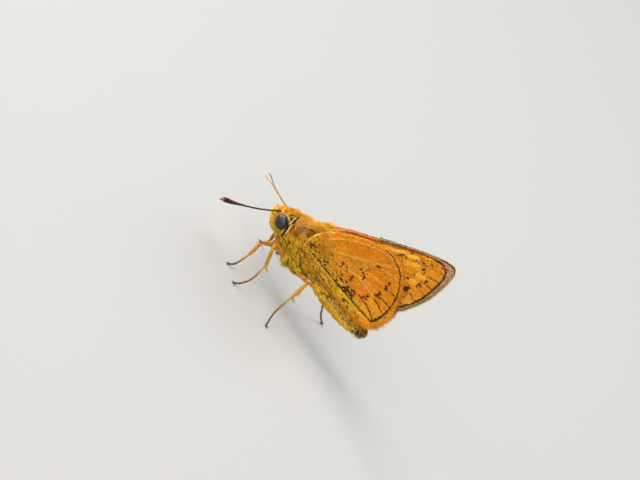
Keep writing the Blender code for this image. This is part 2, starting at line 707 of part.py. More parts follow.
def finish(nodes):
    """Centres the model's box over the origin, turns millimetres into metres and places each node."""
    corners = np.array([tuple(v.co) for node, _, _ in nodes for v in node.data.vertices])
    low, high = corners.min(axis=0), corners.max(axis=0)
    shift = Vector((-(low[0] + high[0]) / 2, -(low[1] + high[1]) / 2, -low[2]))
    holder = bpy.data.objects.new("palm_dart", None)
    bpy.context.scene.collection.objects.link(holder)
    looks = {look: material(look) for look in LOOKS}
    for node, look, pivot in nodes:
        pivot = Vector(pivot)
        for vertex in node.data.vertices:
            vertex.co = (vertex.co - pivot) * MM
        node.location = (pivot + shift) * MM
        node.parent = holder
        node.data.materials.clear()
        node.data.materials.append(looks[look])
        node.data.shade_smooth()
        node.data.set_sharp_from_angle(angle=math.radians(SHARP))


for old in list(bpy.data.objects):
    bpy.data.objects.remove(old)
finish(build())
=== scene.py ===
"""The looks of the palm dart: skin, coat, scaled wings, eyes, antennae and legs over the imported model.

Sizes are in millimetres in the insect's own frame, with the floor at z = 0, the head towards -X, the left
side towards -Y and the middle plane of the body at y = 0. in_frame() takes them to the frame's metres.
"""

import math

import bpy
import numpy as np
from mathutils import Matrix, Vector
from mathutils.geometry import delaunay_2d_cdt
from mathutils.kdtree import KDTree


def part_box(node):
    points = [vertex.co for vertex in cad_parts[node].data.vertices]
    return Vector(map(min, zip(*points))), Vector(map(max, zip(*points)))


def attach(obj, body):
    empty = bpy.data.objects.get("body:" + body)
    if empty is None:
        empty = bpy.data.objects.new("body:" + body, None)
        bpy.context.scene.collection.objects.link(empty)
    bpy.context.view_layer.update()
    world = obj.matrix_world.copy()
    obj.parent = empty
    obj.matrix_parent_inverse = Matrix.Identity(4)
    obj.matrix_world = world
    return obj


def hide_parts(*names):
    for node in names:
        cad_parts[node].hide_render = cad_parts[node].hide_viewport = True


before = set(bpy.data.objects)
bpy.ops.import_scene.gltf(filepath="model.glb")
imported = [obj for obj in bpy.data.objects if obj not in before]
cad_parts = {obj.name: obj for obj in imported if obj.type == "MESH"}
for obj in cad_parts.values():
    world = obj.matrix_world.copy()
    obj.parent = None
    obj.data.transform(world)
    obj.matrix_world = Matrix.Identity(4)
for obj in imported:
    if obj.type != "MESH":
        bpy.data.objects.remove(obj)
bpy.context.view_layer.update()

MM = 0.001
SIDES = ((-1, "left"), (1, "right"))
ABDOMEN_END = 8.52                      # x of the abdomen's tip in the insect's own frame
# From the insect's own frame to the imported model's
SHIFT = np.array((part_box("abdomen")[1].x / MM - ABDOMEN_END, 0.0, 0.0))
PATCH = 0.003                           # side of a tuft's patch on the coat's map
SEED = 7                                # start of the random draws

# Voxels of the fused skins and the pitch of a wing's triangles
BODY_VOXEL = 0.085
LEG_VOXEL = 0.032
WING_PITCH = 0.15

# Hairs and scales to the square millimetre, and their number where it doesn't follow from an area
COAT_HAIRS = 520
NAPE_HAIRS = 2600
STRAY_HAIRS = 110
LEG_SCALES = 210
ANTENNA_SCALES = 2400
LASHES = 420
DARK_LASHES = 70

# Spacing of a wing's scales within a row and from row to row, on its outer and inner face
OUTER_ROWS = (0.095, 0.105)
INNER_ROWS = (0.11, 0.13)

# Wings
FORE_Y = 0.27                           # middle surface of a forewing from the middle plane
HIND_Y = 1.06                           # and of a hindwing
MEMBRANE = 0.045                        # half thickness of a membrane
VEIN_HIGH = 0.032                       # height of a vein over the membrane
VEIN_WIDE = 0.11                        # half width of a vein at its foot

# Body
SQUARE = 2.1                            # 2 is a round section, more is a squarer one
THORAX_DEEP = 0.34                      # depth of the thorax's skin under the solids' surface
HEAD_DEEP = 0.24                        # of the head's
ABDOMEN_DEEP = 0.10                     # and of the abdomen's
HEAD_BACK = -4.88                       # x where the head's coat meets the thorax's
ABDOMEN_FRONT = 0.93                    # x where the thorax's coat meets the abdomen's
EYE = (0.73, 0.60, 0.83)                # radii of an eye
EYE_AT = (-5.48, 1.23, 6.03)            # its centre
EYE_TILT = 20                           # degrees that it leans
TILT_COS = math.cos(math.radians(EYE_TILT))
TILT_SIN = math.sin(math.radians(EYE_TILT))
SHAFT = 0.068                           # radius of an antenna's thread
CLUB = 0.245                            # and of its club


def linear(red, green, blue):
    """A screen colour from 0 to 255 as linear light."""
    c = np.array((red, green, blue)) / 255
    return np.where(c <= 0.04045, c / 12.92, ((c + 0.055) / 1.055) ** 2.4)


GOLD = linear(255, 184, 54)
AMBER = linear(240, 148, 26)
YELLOW = linear(250, 184, 48)
OLIVE = linear(206, 152, 36)
CREAM = linear(240, 218, 160)
BROWN = linear(88, 50, 22)
BLACK = linear(30, 22, 18)
RUST = linear(184, 84, 20)
OCHRE = linear(210, 136, 22)
SAFFRON = linear(222, 126, 22)
STRAW = linear(216, 156, 38)
MOSS = linear(178, 126, 34)
TAN = linear(150, 118, 84)
PINK = linear(206, 160, 132)


def smooth(low, high, value):
    """A smooth step from 0 at low to 1 at high."""
    part = np.clip((np.asarray(value, float) - low) / (high - low), 0.0, 1.0)
    return part * part * (3.0 - 2.0 * part)


def mix(a, b, part):
    """Colour a turned into colour b by this part of the way, for many points."""
    part = np.asarray(part, float)[:, None]
    return a + (b - a) * part


def unit(v):
    """Each direction at length 1."""
    return v / np.maximum(np.linalg.norm(v, axis=-1, keepdims=True), 1e-9)


def curve(points, per, closed=False):
    """A smooth line through the points, with this many steps between each two."""
    points = np.array(points, float)
    count = len(points)
    made = []
    for i in range(count if closed else count - 1):
        if closed:
            a, b, c, d = (points[(i + k) % count] for k in (-1, 0, 1, 2))
        else:
            b, c = points[i], points[i + 1]
            a = points[i - 1] if i else 2 * b - c
            d = points[i + 2] if i + 2 < count else 2 * c - b
        for k in range(per):
            t = k / per
            made.append(0.5 * (2 * b + (c - a) * t + (2 * a - 5 * b + 4 * c - d) * t * t
                               + (3 * b - a - 3 * c + d) * t ** 3))
    if not closed:
        made.append(points[-1])
    return np.array(made)


def noise(points, size, seed=0):
    """Smooth noise from 0 to 1 with grains of this size."""
    at = np.asarray(points, float) / size + 31.7 * seed
    cell = np.floor(at).astype(np.int64)
    part = at - cell
    part = part * part * (3 - 2 * part)
    total = np.zeros(len(at))
    for corner in np.ndindex(2, 2, 2):
        c = cell + np.array(corner)
        mixed = (c[:, 0] * 73856093) ^ (c[:, 1] * 19349663) ^ (c[:, 2] * 83492791)
        mixed = ((mixed & 0xFFFFFFF) * 2654435761) & 0xFFFFFFFF
        mixed = ((mixed ^ (mixed >> 15)) * 2246822519) & 0xFFFFFFFF
        weight = np.prod(np.where(corner, part, 1 - part), axis=1)
        total += weight * (mixed >> 8) / float(1 << 24)
    return total


def distance_to(points, line):
    """Distance of each point from a line of short straight steps."""
    line = np.asarray(line, float)
    best = np.full(len(points), 1e9)
    for a, b in zip(line[:-1], line[1:]):
        way = b - a
        part = np.clip(((points - a) @ way) / max(way @ way, 1e-12), 0, 1)
        best = np.minimum(best, np.linalg.norm(points - a - part[:, None] * way, axis=1))
    return best


def lengths(path):
    """How far along a path each of its points lies."""
    return np.concatenate([[0], np.cumsum(np.linalg.norm(np.diff(path, axis=0), axis=1))])


def at_lengths(marks, along, path):
    """The points that lie this far along a path."""
    return np.column_stack([np.interp(marks, along, row) for row in path.T])


def upright(flat):
    """Flat (x, z) rows as rows in space, with y = 0."""
    return np.column_stack([flat[:, 0], np.zeros(len(flat)), flat[:, 1]])


def inside(points, loop):
    """Which of the flat points lie inside a closed loop."""
    found = np.zeros(len(points), bool)
    for a, b in zip(loop, np.roll(loop, -1, axis=0)):
        across = (a[1] > points[:, 1]) != (b[1] > points[:, 1])
        level = (b[0] - a[0]) * (points[:, 1] - a[1]) / ((b[1] - a[1]) or 1e-12) + a[0]
        found ^= across & (points[:, 0] < level)
    return found


def in_frame(points):
    """Points of the insect's own frame in the frame's metres."""
    return (np.asarray(points, float) + SHIFT) * MM


# Meshes

def mesh_piece(name, points, faces, paint=None, patches=None):
    """A piece of triangles, with a colour for each point and, for a coat, its place on the coat's map."""
    points, faces = in_frame(points), np.asarray(faces, np.int32)
    mesh = bpy.data.meshes.new(name)
    mesh.vertices.add(len(points))
    mesh.vertices.foreach_set("co", points.astype(np.float32).ravel())
    mesh.loops.add(faces.size)
    mesh.loops.foreach_set("vertex_index", faces.ravel())
    mesh.polygons.add(len(faces))
    mesh.polygons.foreach_set("loop_start", np.arange(0, faces.size, 3, dtype=np.int32))
    mesh.update(calc_edges=True)
    mesh.shade_smooth()
    if paint is not None:
        colours = mesh.color_attributes.new("paint", "FLOAT_COLOR", "POINT")
        rows = np.hstack([np.clip(paint, 0, 1), np.ones((len(points), 1))])
        colours.data.foreach_set("color", rows.astype(np.float32).ravel())
    if patches is not None:
        layer = mesh.uv_layers.new(name="OFBake")
        layer.uv.foreach_set("vector", patches[faces.ravel()].astype(np.float32).ravel())
    made = bpy.data.objects.new(name, mesh)
    bpy.context.scene.collection.objects.link(made)
    return made


def dress(piece, material, slot, *replaced):
    """Gives a piece its material, hangs it under the root and hides the parts that it stands for."""
    piece.data.materials.append(material)
    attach(piece, "root")
    if replaced:
        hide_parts(*replaced)
    return piece


def rings_solid(rings, start, end):
    """Points and triangles of a closed skin over rings of equally many points, with a point at each end."""
    rings = np.asarray(rings, float)
    count, sides = rings.shape[:2]
    points = np.vstack([rings.reshape(-1, 3), [start, end]])
    s = np.arange(sides)
    t = (s + 1) % sides
    faces = []
    for r in range(count - 1):
        a, b, c, d = r * sides + s, r * sides + t, (r + 1) * sides + t, (r + 1) * sides + s
        faces += [np.stack([a, d, c], 1), np.stack([a, c, b], 1)]
    first, last, base = len(points) - 2, len(points) - 1, (count - 1) * sides
    faces.append(np.stack([np.full(sides, first), s, t], 1))
    faces.append(np.stack([np.full(sides, last), base + t, base + s], 1))
    faces = np.vstack(faces)
    corners = points[faces]
    if np.linalg.det(corners).sum() < 0:
        faces = faces[:, ::-1]
    return points, faces


def circle(sides):
    """Cosines and sines of points spread evenly round a circle."""
    angle = 2 * np.pi * np.arange(sides) / sides
    return np.cos(angle), np.sin(angle)


def ring_about(middle, across, up, radius, sides):
    """A ring of points round the middle, in the plane of two directions."""
    c, s = circle(sides)
    return middle + radius * (c[:, None] * across + s[:, None] * up)


def body_shape(stations, deep, sides=40, per=4):
    """A body part along X. A station is (x, z, half width, height up, height down, lean)."""
    line = curve(stations, per)
    c, w = circle(sides)
    c = np.sign(c) * np.abs(c) ** (2 / SQUARE)
    w = np.sign(w) * np.abs(w) ** (2 / SQUARE)
    rings = []
    for x, z, wide, up, down, lean in line:
        high = np.where(w > 0, max(up - deep, 0.05), max(down - deep, 0.05)) * w
        rings.append(np.stack([x - lean * high, max(wide - deep, 0.05) * c, z + high], 1))
    return rings_solid(rings, (line[0][0], 0, line[0][1]), (line[-1][0], 0, line[-1][1]))


def ellipsoid(centre, radii, tilt=0.0, rings=16, sides=28):
    """An ellipsoid turned by tilt degrees in the XZ plane."""
    c, s = math.cos(math.radians(tilt)), math.sin(math.radians(tilt))
    turn = np.array(((c, 0, -s), (0, 1, 0), (s, 0, c)))

    def place(spots):
        return (np.asarray(spots, float) * radii) @ turn.T + centre

    across, up = circle(sides)
    made = []
    for r in range(1, rings):
        high = math.pi * r / rings
        ring = np.stack([np.full(sides, math.cos(high)), math.sin(high) * across, math.sin(high) * up], 1)
        made.append(place(ring))
    return rings_solid(made, place([(1, 0, 0)])[0], place([(-1, 0, 0)])[0])


def along_path(path):
    """Directions along a path, and two directions across it that turn as little as they can."""
    ways = unit(np.gradient(path, axis=0))
    side = np.cross(ways[0], (0.0, 0.0, 1.0))
    if np.linalg.norm(side) < 0.2:
        side = np.cross(ways[0], (1.0, 0.0, 0.0))
    sides = []
    for way in ways:
        side = unit(side - way * side.dot(way))
        sides.append(side)
    sides = np.array(sides)
    return ways, sides, np.cross(sides, ways)


def tube(points, radii, sides=12, per=4):
    """A limb along a smooth line, its ends rounded."""
    line = curve(np.hstack([np.array(points, float), np.array(radii, float)[:, None]]), per)
    path, radius = line[:, :3], np.maximum(line[:, 3], 0.012)
    ways, across, up = along_path(path)
    caps = ((0.85, 0.50), (0.55, 0.82), (0.25, 0.96))
    spots = [(path[0] - ways[0] * radius[0] * out, across[0], up[0], radius[0] * size) for out, size in caps]
    spots += [(path[i], across[i], up[i], radius[i]) for i in range(len(path))]
    spots += [(path[-1] + ways[-1] * radius[-1] * out, across[-1], up[-1], radius[-1] * size)
              for out, size in reversed(caps)]
    rings = [ring_about(*spot, sides) for spot in spots]
    return rings_solid(rings, path[0] - ways[0] * radius[0], path[-1] + ways[-1] * radius[-1])


def fused(shapes, voxel, rounds=2):
    """One closed skin round all the shapes, remeshed with this voxel, as points and triangles."""
    points, faces, count = [], [], 0
    for shape_points, shape_faces in shapes:
        points.append(shape_points)
        faces.append(shape_faces + count)
        count += len(shape_points)
    mesh = bpy.data.meshes.new("shapes")
    mesh.from_pydata(np.vstack(points).tolist(), [], np.vstack(faces).tolist())
    holder = bpy.data.objects.new("shapes", mesh)
    bpy.context.scene.collection.objects.link(holder)
    remesh = holder.modifiers.new("fuse", "REMESH")
    remesh.mode = "VOXEL"
    remesh.voxel_size = voxel
    relax = holder.modifiers.new("relax", "SMOOTH")
    relax.iterations = rounds
    bpy.context.view_layer.update()
    seen = holder.evaluated_get(bpy.context.evaluated_depsgraph_get())
    made = seen.to_mesh()
    made.calc_loop_triangles()
    found = np.empty(len(made.vertices) * 3, np.float32)
    made.vertices.foreach_get("co", found)
    corners = np.empty(len(made.loop_triangles) * 3, np.int32)
    made.loop_triangles.foreach_get("vertices", corners)
    seen.to_mesh_clear()
    bpy.data.objects.remove(holder)
    bpy.data.meshes.remove(mesh)
    return found.reshape(-1, 3).astype(float), corners.reshape(-1, 3)


def point_normals(points, faces):
    """Normals at the points of a skin, from the triangles round each."""
    a, b, c = (points[faces[:, k]] for k in range(3))
    across = np.cross(b - a, c - a)
    total = np.zeros_like(points)
    for k in range(3):
        for axis in range(3):
            total[:, axis] += np.bincount(faces[:, k], across[:, axis], len(points))
    return unit(total)


def scatter(points, faces, per_square, draw):
    """Random spots over a skin, this many to the square millimetre, with their normals."""
    normals = point_normals(points, faces)
    a, b, c = (points[faces[:, k]] for k in range(3))
    area = np.linalg.norm(np.cross(b - a, c - a), axis=1) / 2
    count = int(area.sum() * per_square)
    chosen = draw.choice(len(faces), count, p=area / area.sum())
    u, v = draw.random(count), draw.random(count)
    over = u + v > 1
    u, v = np.where(over, 1 - u, u)[:, None], np.where(over, 1 - v, v)[:, None]
    face = faces[chosen]
    spots = points[face[:, 0]] * (1 - u - v) + points[face[:, 1]] * u + points[face[:, 2]] * v
    ways = normals[face[:, 0]] * (1 - u - v) + normals[face[:, 1]] * u + normals[face[:, 2]] * v
    return spots, unit(ways)


# Coat: each hair or scale is a closed slender blade. Its rings are (place along it, share of its width).

HAIR_CUTS = ((0.22, 1.0), (0.62, 0.78))
SCALE_CUTS = ((0.30, 0.75), (0.84, 1.0))


def blades(roots, normals, ways, length, width, thick, lift, droop=0.5, bend=0.0, pull=0.0, cuts=HAIR_CUTS,
           sink=0.05):
    """Points and triangles of many blades. lift is their slope at the root, and pull moves their tips."""
    count = len(roots)

    def column(value):
        return np.broadcast_to(np.asarray(value, float).reshape(-1, 1), (count, 1))

    length, width, thick, lift, droop, bend = (column(v) for v in (length, width, thick, lift, droop, bend))
    pull = np.broadcast_to(pull, (count, 3))
    ways = unit(ways - normals * np.sum(ways * normals, axis=1, keepdims=True))
    left = np.cross(normals, ways)

    def centre(t):
        rise = lift * length * (t - droop * t * t)
        return roots + ways * length * t + normals * rise + left * bend * length * t * t + pull * t * t

    rows = [roots - normals * sink]
    for t, wide in cuts:
        middle = centre(t)
        half = left * width * wide / 2
        rows += [middle + half, middle + normals * thick * wide, middle - half]
    rows.append(centre(1.0))
    points = np.stack(rows, axis=1)
    size = points.shape[1]
    shape = []
    for j in range(len(cuts)):
        ring = 1 + 3 * j
        for i in range(3):
            a, b = ring + i, ring + (i + 1) % 3
            if j == 0:
                shape.append((0, b, a))
            if j < len(cuts) - 1:
                shape += [(a, b, b + 3), (a, b + 3, a + 3)]
            else:
                shape.append((a, b, size - 1))
    faces = np.arange(count)[:, None, None] * size + np.array(shape)[None]
    return points.reshape(-1, 3), faces.reshape(-1, 3)


def blade_spots(cuts):
    """Where each point of a blade lies across and along it, from 0 to 1."""
    spots = [(0.5, 0.0)]
    for t, _ in cuts:
        spots += [(0.0, t), (0.5, t), (1.0, t)]
    return np.array(spots + [(0.5, 1.0)])


def coat(name, blade, cuts, roots_paint, tips_paint, places, material, slot):
    """The piece made of the blades. places are the roots' places from 0 to 1 on the map of their skin."""
    points, faces = blade
    spots = blade_spots(cuts)
    along = spots[None, :, 1:2]
    paint = roots_paint[:, None] * (1 - along) + tips_paint[:, None] * along
    patches = np.clip(places, 0.002, 0.998)[:, None] + (spots[None] - 0.5) * PATCH
    piece = mesh_piece(name, points, faces, paint.reshape(-1, 3), patches.reshape(-1, 2))
    return dress(piece, material, slot)


def clumped(roots, tips, share, strength, draw):
    """How far each tip is pulled towards that of the leader of its clump."""
    leaders = draw.random(len(roots)) < share
    tree = KDTree(int(leaders.sum()))
    for i, spot in enumerate(roots[leaders]):
        tree.insert(spot, i)
    tree.balance()
    found = np.array([tree.find(spot)[1] for spot in roots])
    return (tips[leaders][found] - tips) * strength


# Materials

def add_noise(tree, size, detail=3.0):
    """Noise with grains of this many millimetres, fixed to the object."""
    spots = tree.nodes.new("ShaderNodeTexCoord")
    made = tree.nodes.new("ShaderNodeTexNoise")
    made.inputs["Scale"].default_value = 1 / (size * MM)
    made.inputs["Detail"].default_value = detail
    tree.links.new(spots.outputs["Object"], made.inputs["Vector"])
    return made.outputs["Fac"]


def add_range(tree, value, low, high):
    """The value spread between low and high."""
    made = tree.nodes.new("ShaderNodeMapRange")
    made.inputs["From Min"].default_value = 0.3
    made.inputs["From Max"].default_value = 0.7
    made.inputs["To Min"].default_value = low
    made.inputs["To Max"].default_value = high
    tree.links.new(value, made.inputs["Value"])
    return made.outputs["Result"]


def new_material(name):
    made = bpy.data.materials.new(name)
    made.use_nodes = True
    return made, made.node_tree, made.node_tree.nodes["Principled BSDF"]


def add_bump(tree, shader, height, depth, strength=0.6):
    bump = tree.nodes.new("ShaderNodeBump")
    bump.inputs["Strength"].default_value = strength
    bump.inputs["Distance"].default_value = depth * MM
    tree.links.new(height, bump.inputs["Height"])
    tree.links.new(bump.outputs["Normal"], shader.inputs["Normal"])


def painted_material(name, grain, rough, bump, blotch=0.6):
    """The piece's own paint, varied by fine and broad noise, with a rough, fine-grained surface."""
    made, tree, shader = new_material(name)
    paint = tree.nodes.new("ShaderNodeVertexColor")
    paint.layer_name = "paint"
    fine = add_range(tree, add_noise(tree, grain), 0.80, 1.16)
    broad = add_range(tree, add_noise(tree, blotch), 0.90, 1.10)
    both = tree.nodes.new("ShaderNodeMath")
    both.operation = "MULTIPLY"
    tree.links.new(fine, both.inputs[0])
    tree.links.new(broad, both.inputs[1])
    tinted = tree.nodes.new("ShaderNodeVectorMath")
    tinted.operation = "SCALE"
    tree.links.new(paint.outputs["Color"], tinted.inputs[0])
    tree.links.new(both.outputs[0], tinted.inputs["Scale"])
    tree.links.new(tinted.outputs[0], shader.inputs["Base Color"])
    tree.links.new(add_range(tree, add_noise(tree, grain * 2), rough - 0.08, rough + 0.08),
                   shader.inputs["Roughness"])
    add_bump(tree, shader, add_noise(tree, grain, 4.0), bump)
    shader.inputs["Specular IOR Level"].default_value = 0.09
    return made


# Wings, seen from the side: points are (x, z)

FORE_EDGE = [
    (-3.05, 7.75), (-2.55, 8.85), (-1.90, 9.75), (-0.85, 10.95), (0.35, 11.95), (1.95, 13.25), (3.60, 14.62),
    (5.24, 15.98), (6.55, 16.92), (7.60, 17.50), (8.35, 17.66), (8.88, 17.32), (9.20, 16.56), (9.40, 15.40),
    (9.50, 13.95), (9.36, 12.45), (9.06, 11.20), (8.72, 10.20), (7.60, 9.72), (5.40, 9.30), (3.00, 8.85),
    (0.80, 8.40), (-0.70, 8.05), (-1.70, 7.60),
]
HIND_EDGE = [
    (-2.20, 6.45), (-2.50, 7.20), (-2.56, 7.95), (-2.18, 9.07), (-1.26, 10.18), (-0.10, 11.32), (1.16, 12.34),
    (2.25, 12.98), (3.35, 13.48), (4.55, 13.70), (5.60, 13.36), (6.52, 12.75), (7.40, 11.80), (8.14, 10.68),
    (8.70, 9.60), (9.06, 8.52), (8.92, 7.46), (8.38, 6.62), (7.42, 6.28), (5.90, 6.16), (4.10, 5.98),
    (2.10, 5.78), (0.34, 5.85), (-1.21, 6.10),
]
FORE_ROOT = (-2.30, 8.20)
FORE_CELL = [
    [FORE_ROOT, (-0.60, 10.20), (1.20, 11.75), (3.00, 13.15), (4.40, 14.10)],
    [FORE_ROOT, (-0.50, 9.30), (1.60, 10.60), (3.40, 11.75), (4.75, 12.95)],
    [(4.40, 14.10), (4.80, 13.60), (4.75, 12.95)],
    [(-2.62, 8.40), (-1.80, 9.62), (-0.75, 10.82), (0.45, 11.82), (2.05, 13.12), (3.70, 14.48),
     (5.34, 15.82)],
]
FORE_ENDS = [
    ((-2.00, 8.10), (8.95, 11.20)), ((2.60, 11.25), (9.25, 12.35)), ((4.05, 12.30), (9.45, 13.50)),
    ((4.75, 12.95), (9.50, 14.75)), ((4.80, 13.50), (9.42, 15.95)), ((4.40, 14.10), (9.05, 16.90)),
    ((4.40, 14.10), (8.40, 17.50)), ((3.40, 13.45), (7.10, 17.10)), ((2.40, 12.70), (4.70, 15.25)),
]
HIND_ROOT = (-1.70, 7.30)
HIND_CELL = [
    [HIND_ROOT, (-1.47, 8.73), (-0.37, 10.24), (1.13, 11.69), (2.83, 12.74), (4.53, 13.39)],
    [HIND_ROOT, (-0.37, 8.47), (1.03, 9.45), (2.43, 10.59)],
    [HIND_ROOT, (0.03, 7.98), (1.93, 8.60), (3.38, 9.15)],
    [(2.43, 10.59), (3.13, 10.09), (3.38, 9.15)],
]
HIND_ENDS = [
    ((0.53, 9.11), (5.38, 13.19)), ((2.43, 10.59), (6.58, 12.44)), ((3.18, 9.86), (7.68, 11.14)),
    ((3.38, 9.15), (8.33, 9.90)), ((2.43, 8.81), (8.51, 8.85)), ((-1.57, 7.05), (8.48, 7.79)),
    ((-1.37, 6.70), (8.03, 7.05)),
]

# Marks of the under faces: (strength, half width, line)
HIND_MARKS = [
    (0.85, 0.07, [(1.55, 8.34), (1.25, 8.71), (1.69, 8.81), (2.23, 8.57)]),
    (0.80, 0.11, [(2.88, 8.38), (3.17, 8.31), (2.93, 8.67)]),
    (1.00, 0.17, [(3.25, 7.21), (3.63, 7.41), (4.03, 7.45), (4.45, 7.57)]),
    (0.75, 0.12, [(3.49, 7.67), (3.78, 7.75), (4.45, 7.88)]),
    (0.85, 0.06, [(2.89, 9.74), (3.19, 10.01), (3.37, 10.42)]),
    (0.90, 0.07, [(3.25, 9.78), (3.62, 9.62), (3.81, 9.32)]),
    (0.50, 0.15, [(3.61, 11.44), (3.97, 11.26)]),
    (0.90, 0.13, [(5.73, 10.86), (5.57, 11.44)]),
    (0.95, 0.15, [(5.73, 10.84), (5.91, 10.54)]),
    (0.95, 0.14, [(5.83, 9.42), (5.91, 9.84), (6.09, 9.55)]),
    (0.95, 0.15, [(5.19, 8.33), (5.35, 8.66), (5.45, 8.84)]),
    (0.85, 0.10, [(5.57, 8.40), (5.43, 8.62)]),
    (0.95, 0.20, [(-2.03, 7.15), (-1.91, 7.45)]),
    (0.95, 0.15, [(-1.83, 6.33), (-1.62, 6.25)]),
]
HIND_LINE = [
    (2.83, 13.19), (3.99, 13.30), (4.94, 13.11), (5.75, 12.74), (6.62, 11.86), (7.32, 10.81), (7.71, 9.84),
    (7.87, 8.90), (7.80, 8.03), (7.67, 7.57),
]
HIND_FOLD = [(-1.40, 6.92), (0.15, 6.90), (3.15, 7.08), (5.60, 7.28), (7.68, 7.46)]
HIND_SHORT = [(4.80, 8.12), (6.00, 8.14), (6.90, 7.98), (7.62, 7.74)]
FORE_MARKS = [
    (0.90, 0.13, [(5.94, 15.42), (6.06, 15.52)]),
    (0.95, 0.14, [(6.52, 15.06), (6.78, 14.86)]),
    (0.95, 0.13, [(7.55, 14.58), (7.70, 14.42)]),
    (0.95, 0.19, [(7.40, 13.54), (7.60, 13.70)]),
    (1.00, 0.24, [(6.96, 12.24), (7.08, 12.60), (7.22, 12.28)]),
    (0.60, 0.15, [(7.46, 11.80), (7.58, 11.66)]),
    (0.75, 0.10, [(6.28, 13.10), (6.42, 13.26)]),
    (0.75, 0.10, [(6.42, 13.92), (6.60, 14.06)]),
    (0.90, 0.08, [(3.86, 13.81), (4.46, 14.44)]),
    (0.45, 0.12, [(5.34, 15.56), (5.54, 15.76)]),
]
FORE_LIGHTS = [
    (0.90, 0.15, [(2.26, 12.86), (3.20, 13.66)]),
    (0.95, 0.16, [(3.52, 13.84), (4.24, 14.58)]),
    (1.00, 0.19, [(4.62, 14.58), (5.28, 15.30)]),
    (0.90, 0.26, [(5.09, 14.18), (5.87, 14.78)]),
    (1.00, 0.23, [(6.64, 14.22), (7.26, 14.56)]),
    (1.00, 0.28, [(6.70, 13.22), (7.10, 13.44)]),
    (0.60, 0.25, [(8.02, 11.52), (8.34, 11.74)]),
]
FORE_LINE = [
    (1.51, 12.97), (2.66, 13.89), (4.21, 15.15), (5.33, 16.01), (6.41, 16.71), (7.41, 17.05), (8.01, 16.85),
    (8.50, 16.02), (8.70, 14.61), (8.78, 13.01), (8.56, 11.80), (8.21, 10.77), (7.86, 10.17),
]


def ring_of(loop):
    """The loop with its first point again at its end."""
    return np.vstack([loop, loop[:1]])


def offset_loop(loop, distance):
    """The loop moved inwards by a distance, or by one for each point."""
    ways = np.roll(loop, -1, axis=0) - np.roll(loop, 1, axis=0)
    normals = unit(np.stack([ways[:, 1], -ways[:, 0]], axis=1))
    area = np.sum(loop[:, 0] * np.roll(loop[:, 1], -1) - np.roll(loop[:, 0], -1) * loop[:, 1])
    return loop - normals * np.reshape(distance, (-1, 1)) * (1 if area > 0 else -1)


def vein_lines(root, cell, ends):
    """The lines of a wing's veins. A branch leaves along the line from the root and bends to its end."""
    lines = [curve(points, 4) for points in cell]
    root = np.array(root)
    t = np.linspace(0, 1, 13)[:, None]
    for start, end in ends:
        start, end = np.array(start), np.array(end)
        length = np.linalg.norm(end - start)
        way = start - root
        reach = np.linalg.norm(way)
        bend = start + way / reach * length * 0.35 if reach > 1 else (start * 0.65 + end * 0.35)
        lines.append((1 - t) ** 2 * start + 2 * t * (1 - t) * bend + t * t * end)
    return lines


def fore_depth(x, z):
    """Distance of a forewing's middle surface from the middle plane."""
    root = np.hypot(x + 2.7, z - 7.8)
    wave = 0.03 * np.sin(0.9 * x - 0.7 * z)
    return FORE_Y + 0.66 * (1 - smooth(0.4, 3.2, root)) + wave


def hind_depth(x, z):
    """Distance of a hindwing's middle surface from the middle plane: it opens round the abdomen."""
    root = np.hypot(x + 2.1, z - 6.9)
    belly = 0.46 * (1 - smooth(6.1, 8.2, z))
    tip = 0.06 * smooth(3.0, 8.5, x) * smooth(8.0, 12.0, z)
    fold = 0.05 * np.exp(-((z - 7.05 - 0.06 * x) / 0.30) ** 2)
    bows = 0.035 * np.sin(3.4 * np.arctan2(z - 6.2, x + 3.4) * 2 + 0.6)
    close = 0.42 * smooth(8.2, 10.4, z)
    return HIND_Y - close + np.maximum(0.56 * (1 - smooth(0.4, 3.0, root)), belly) + tip - fold + bows


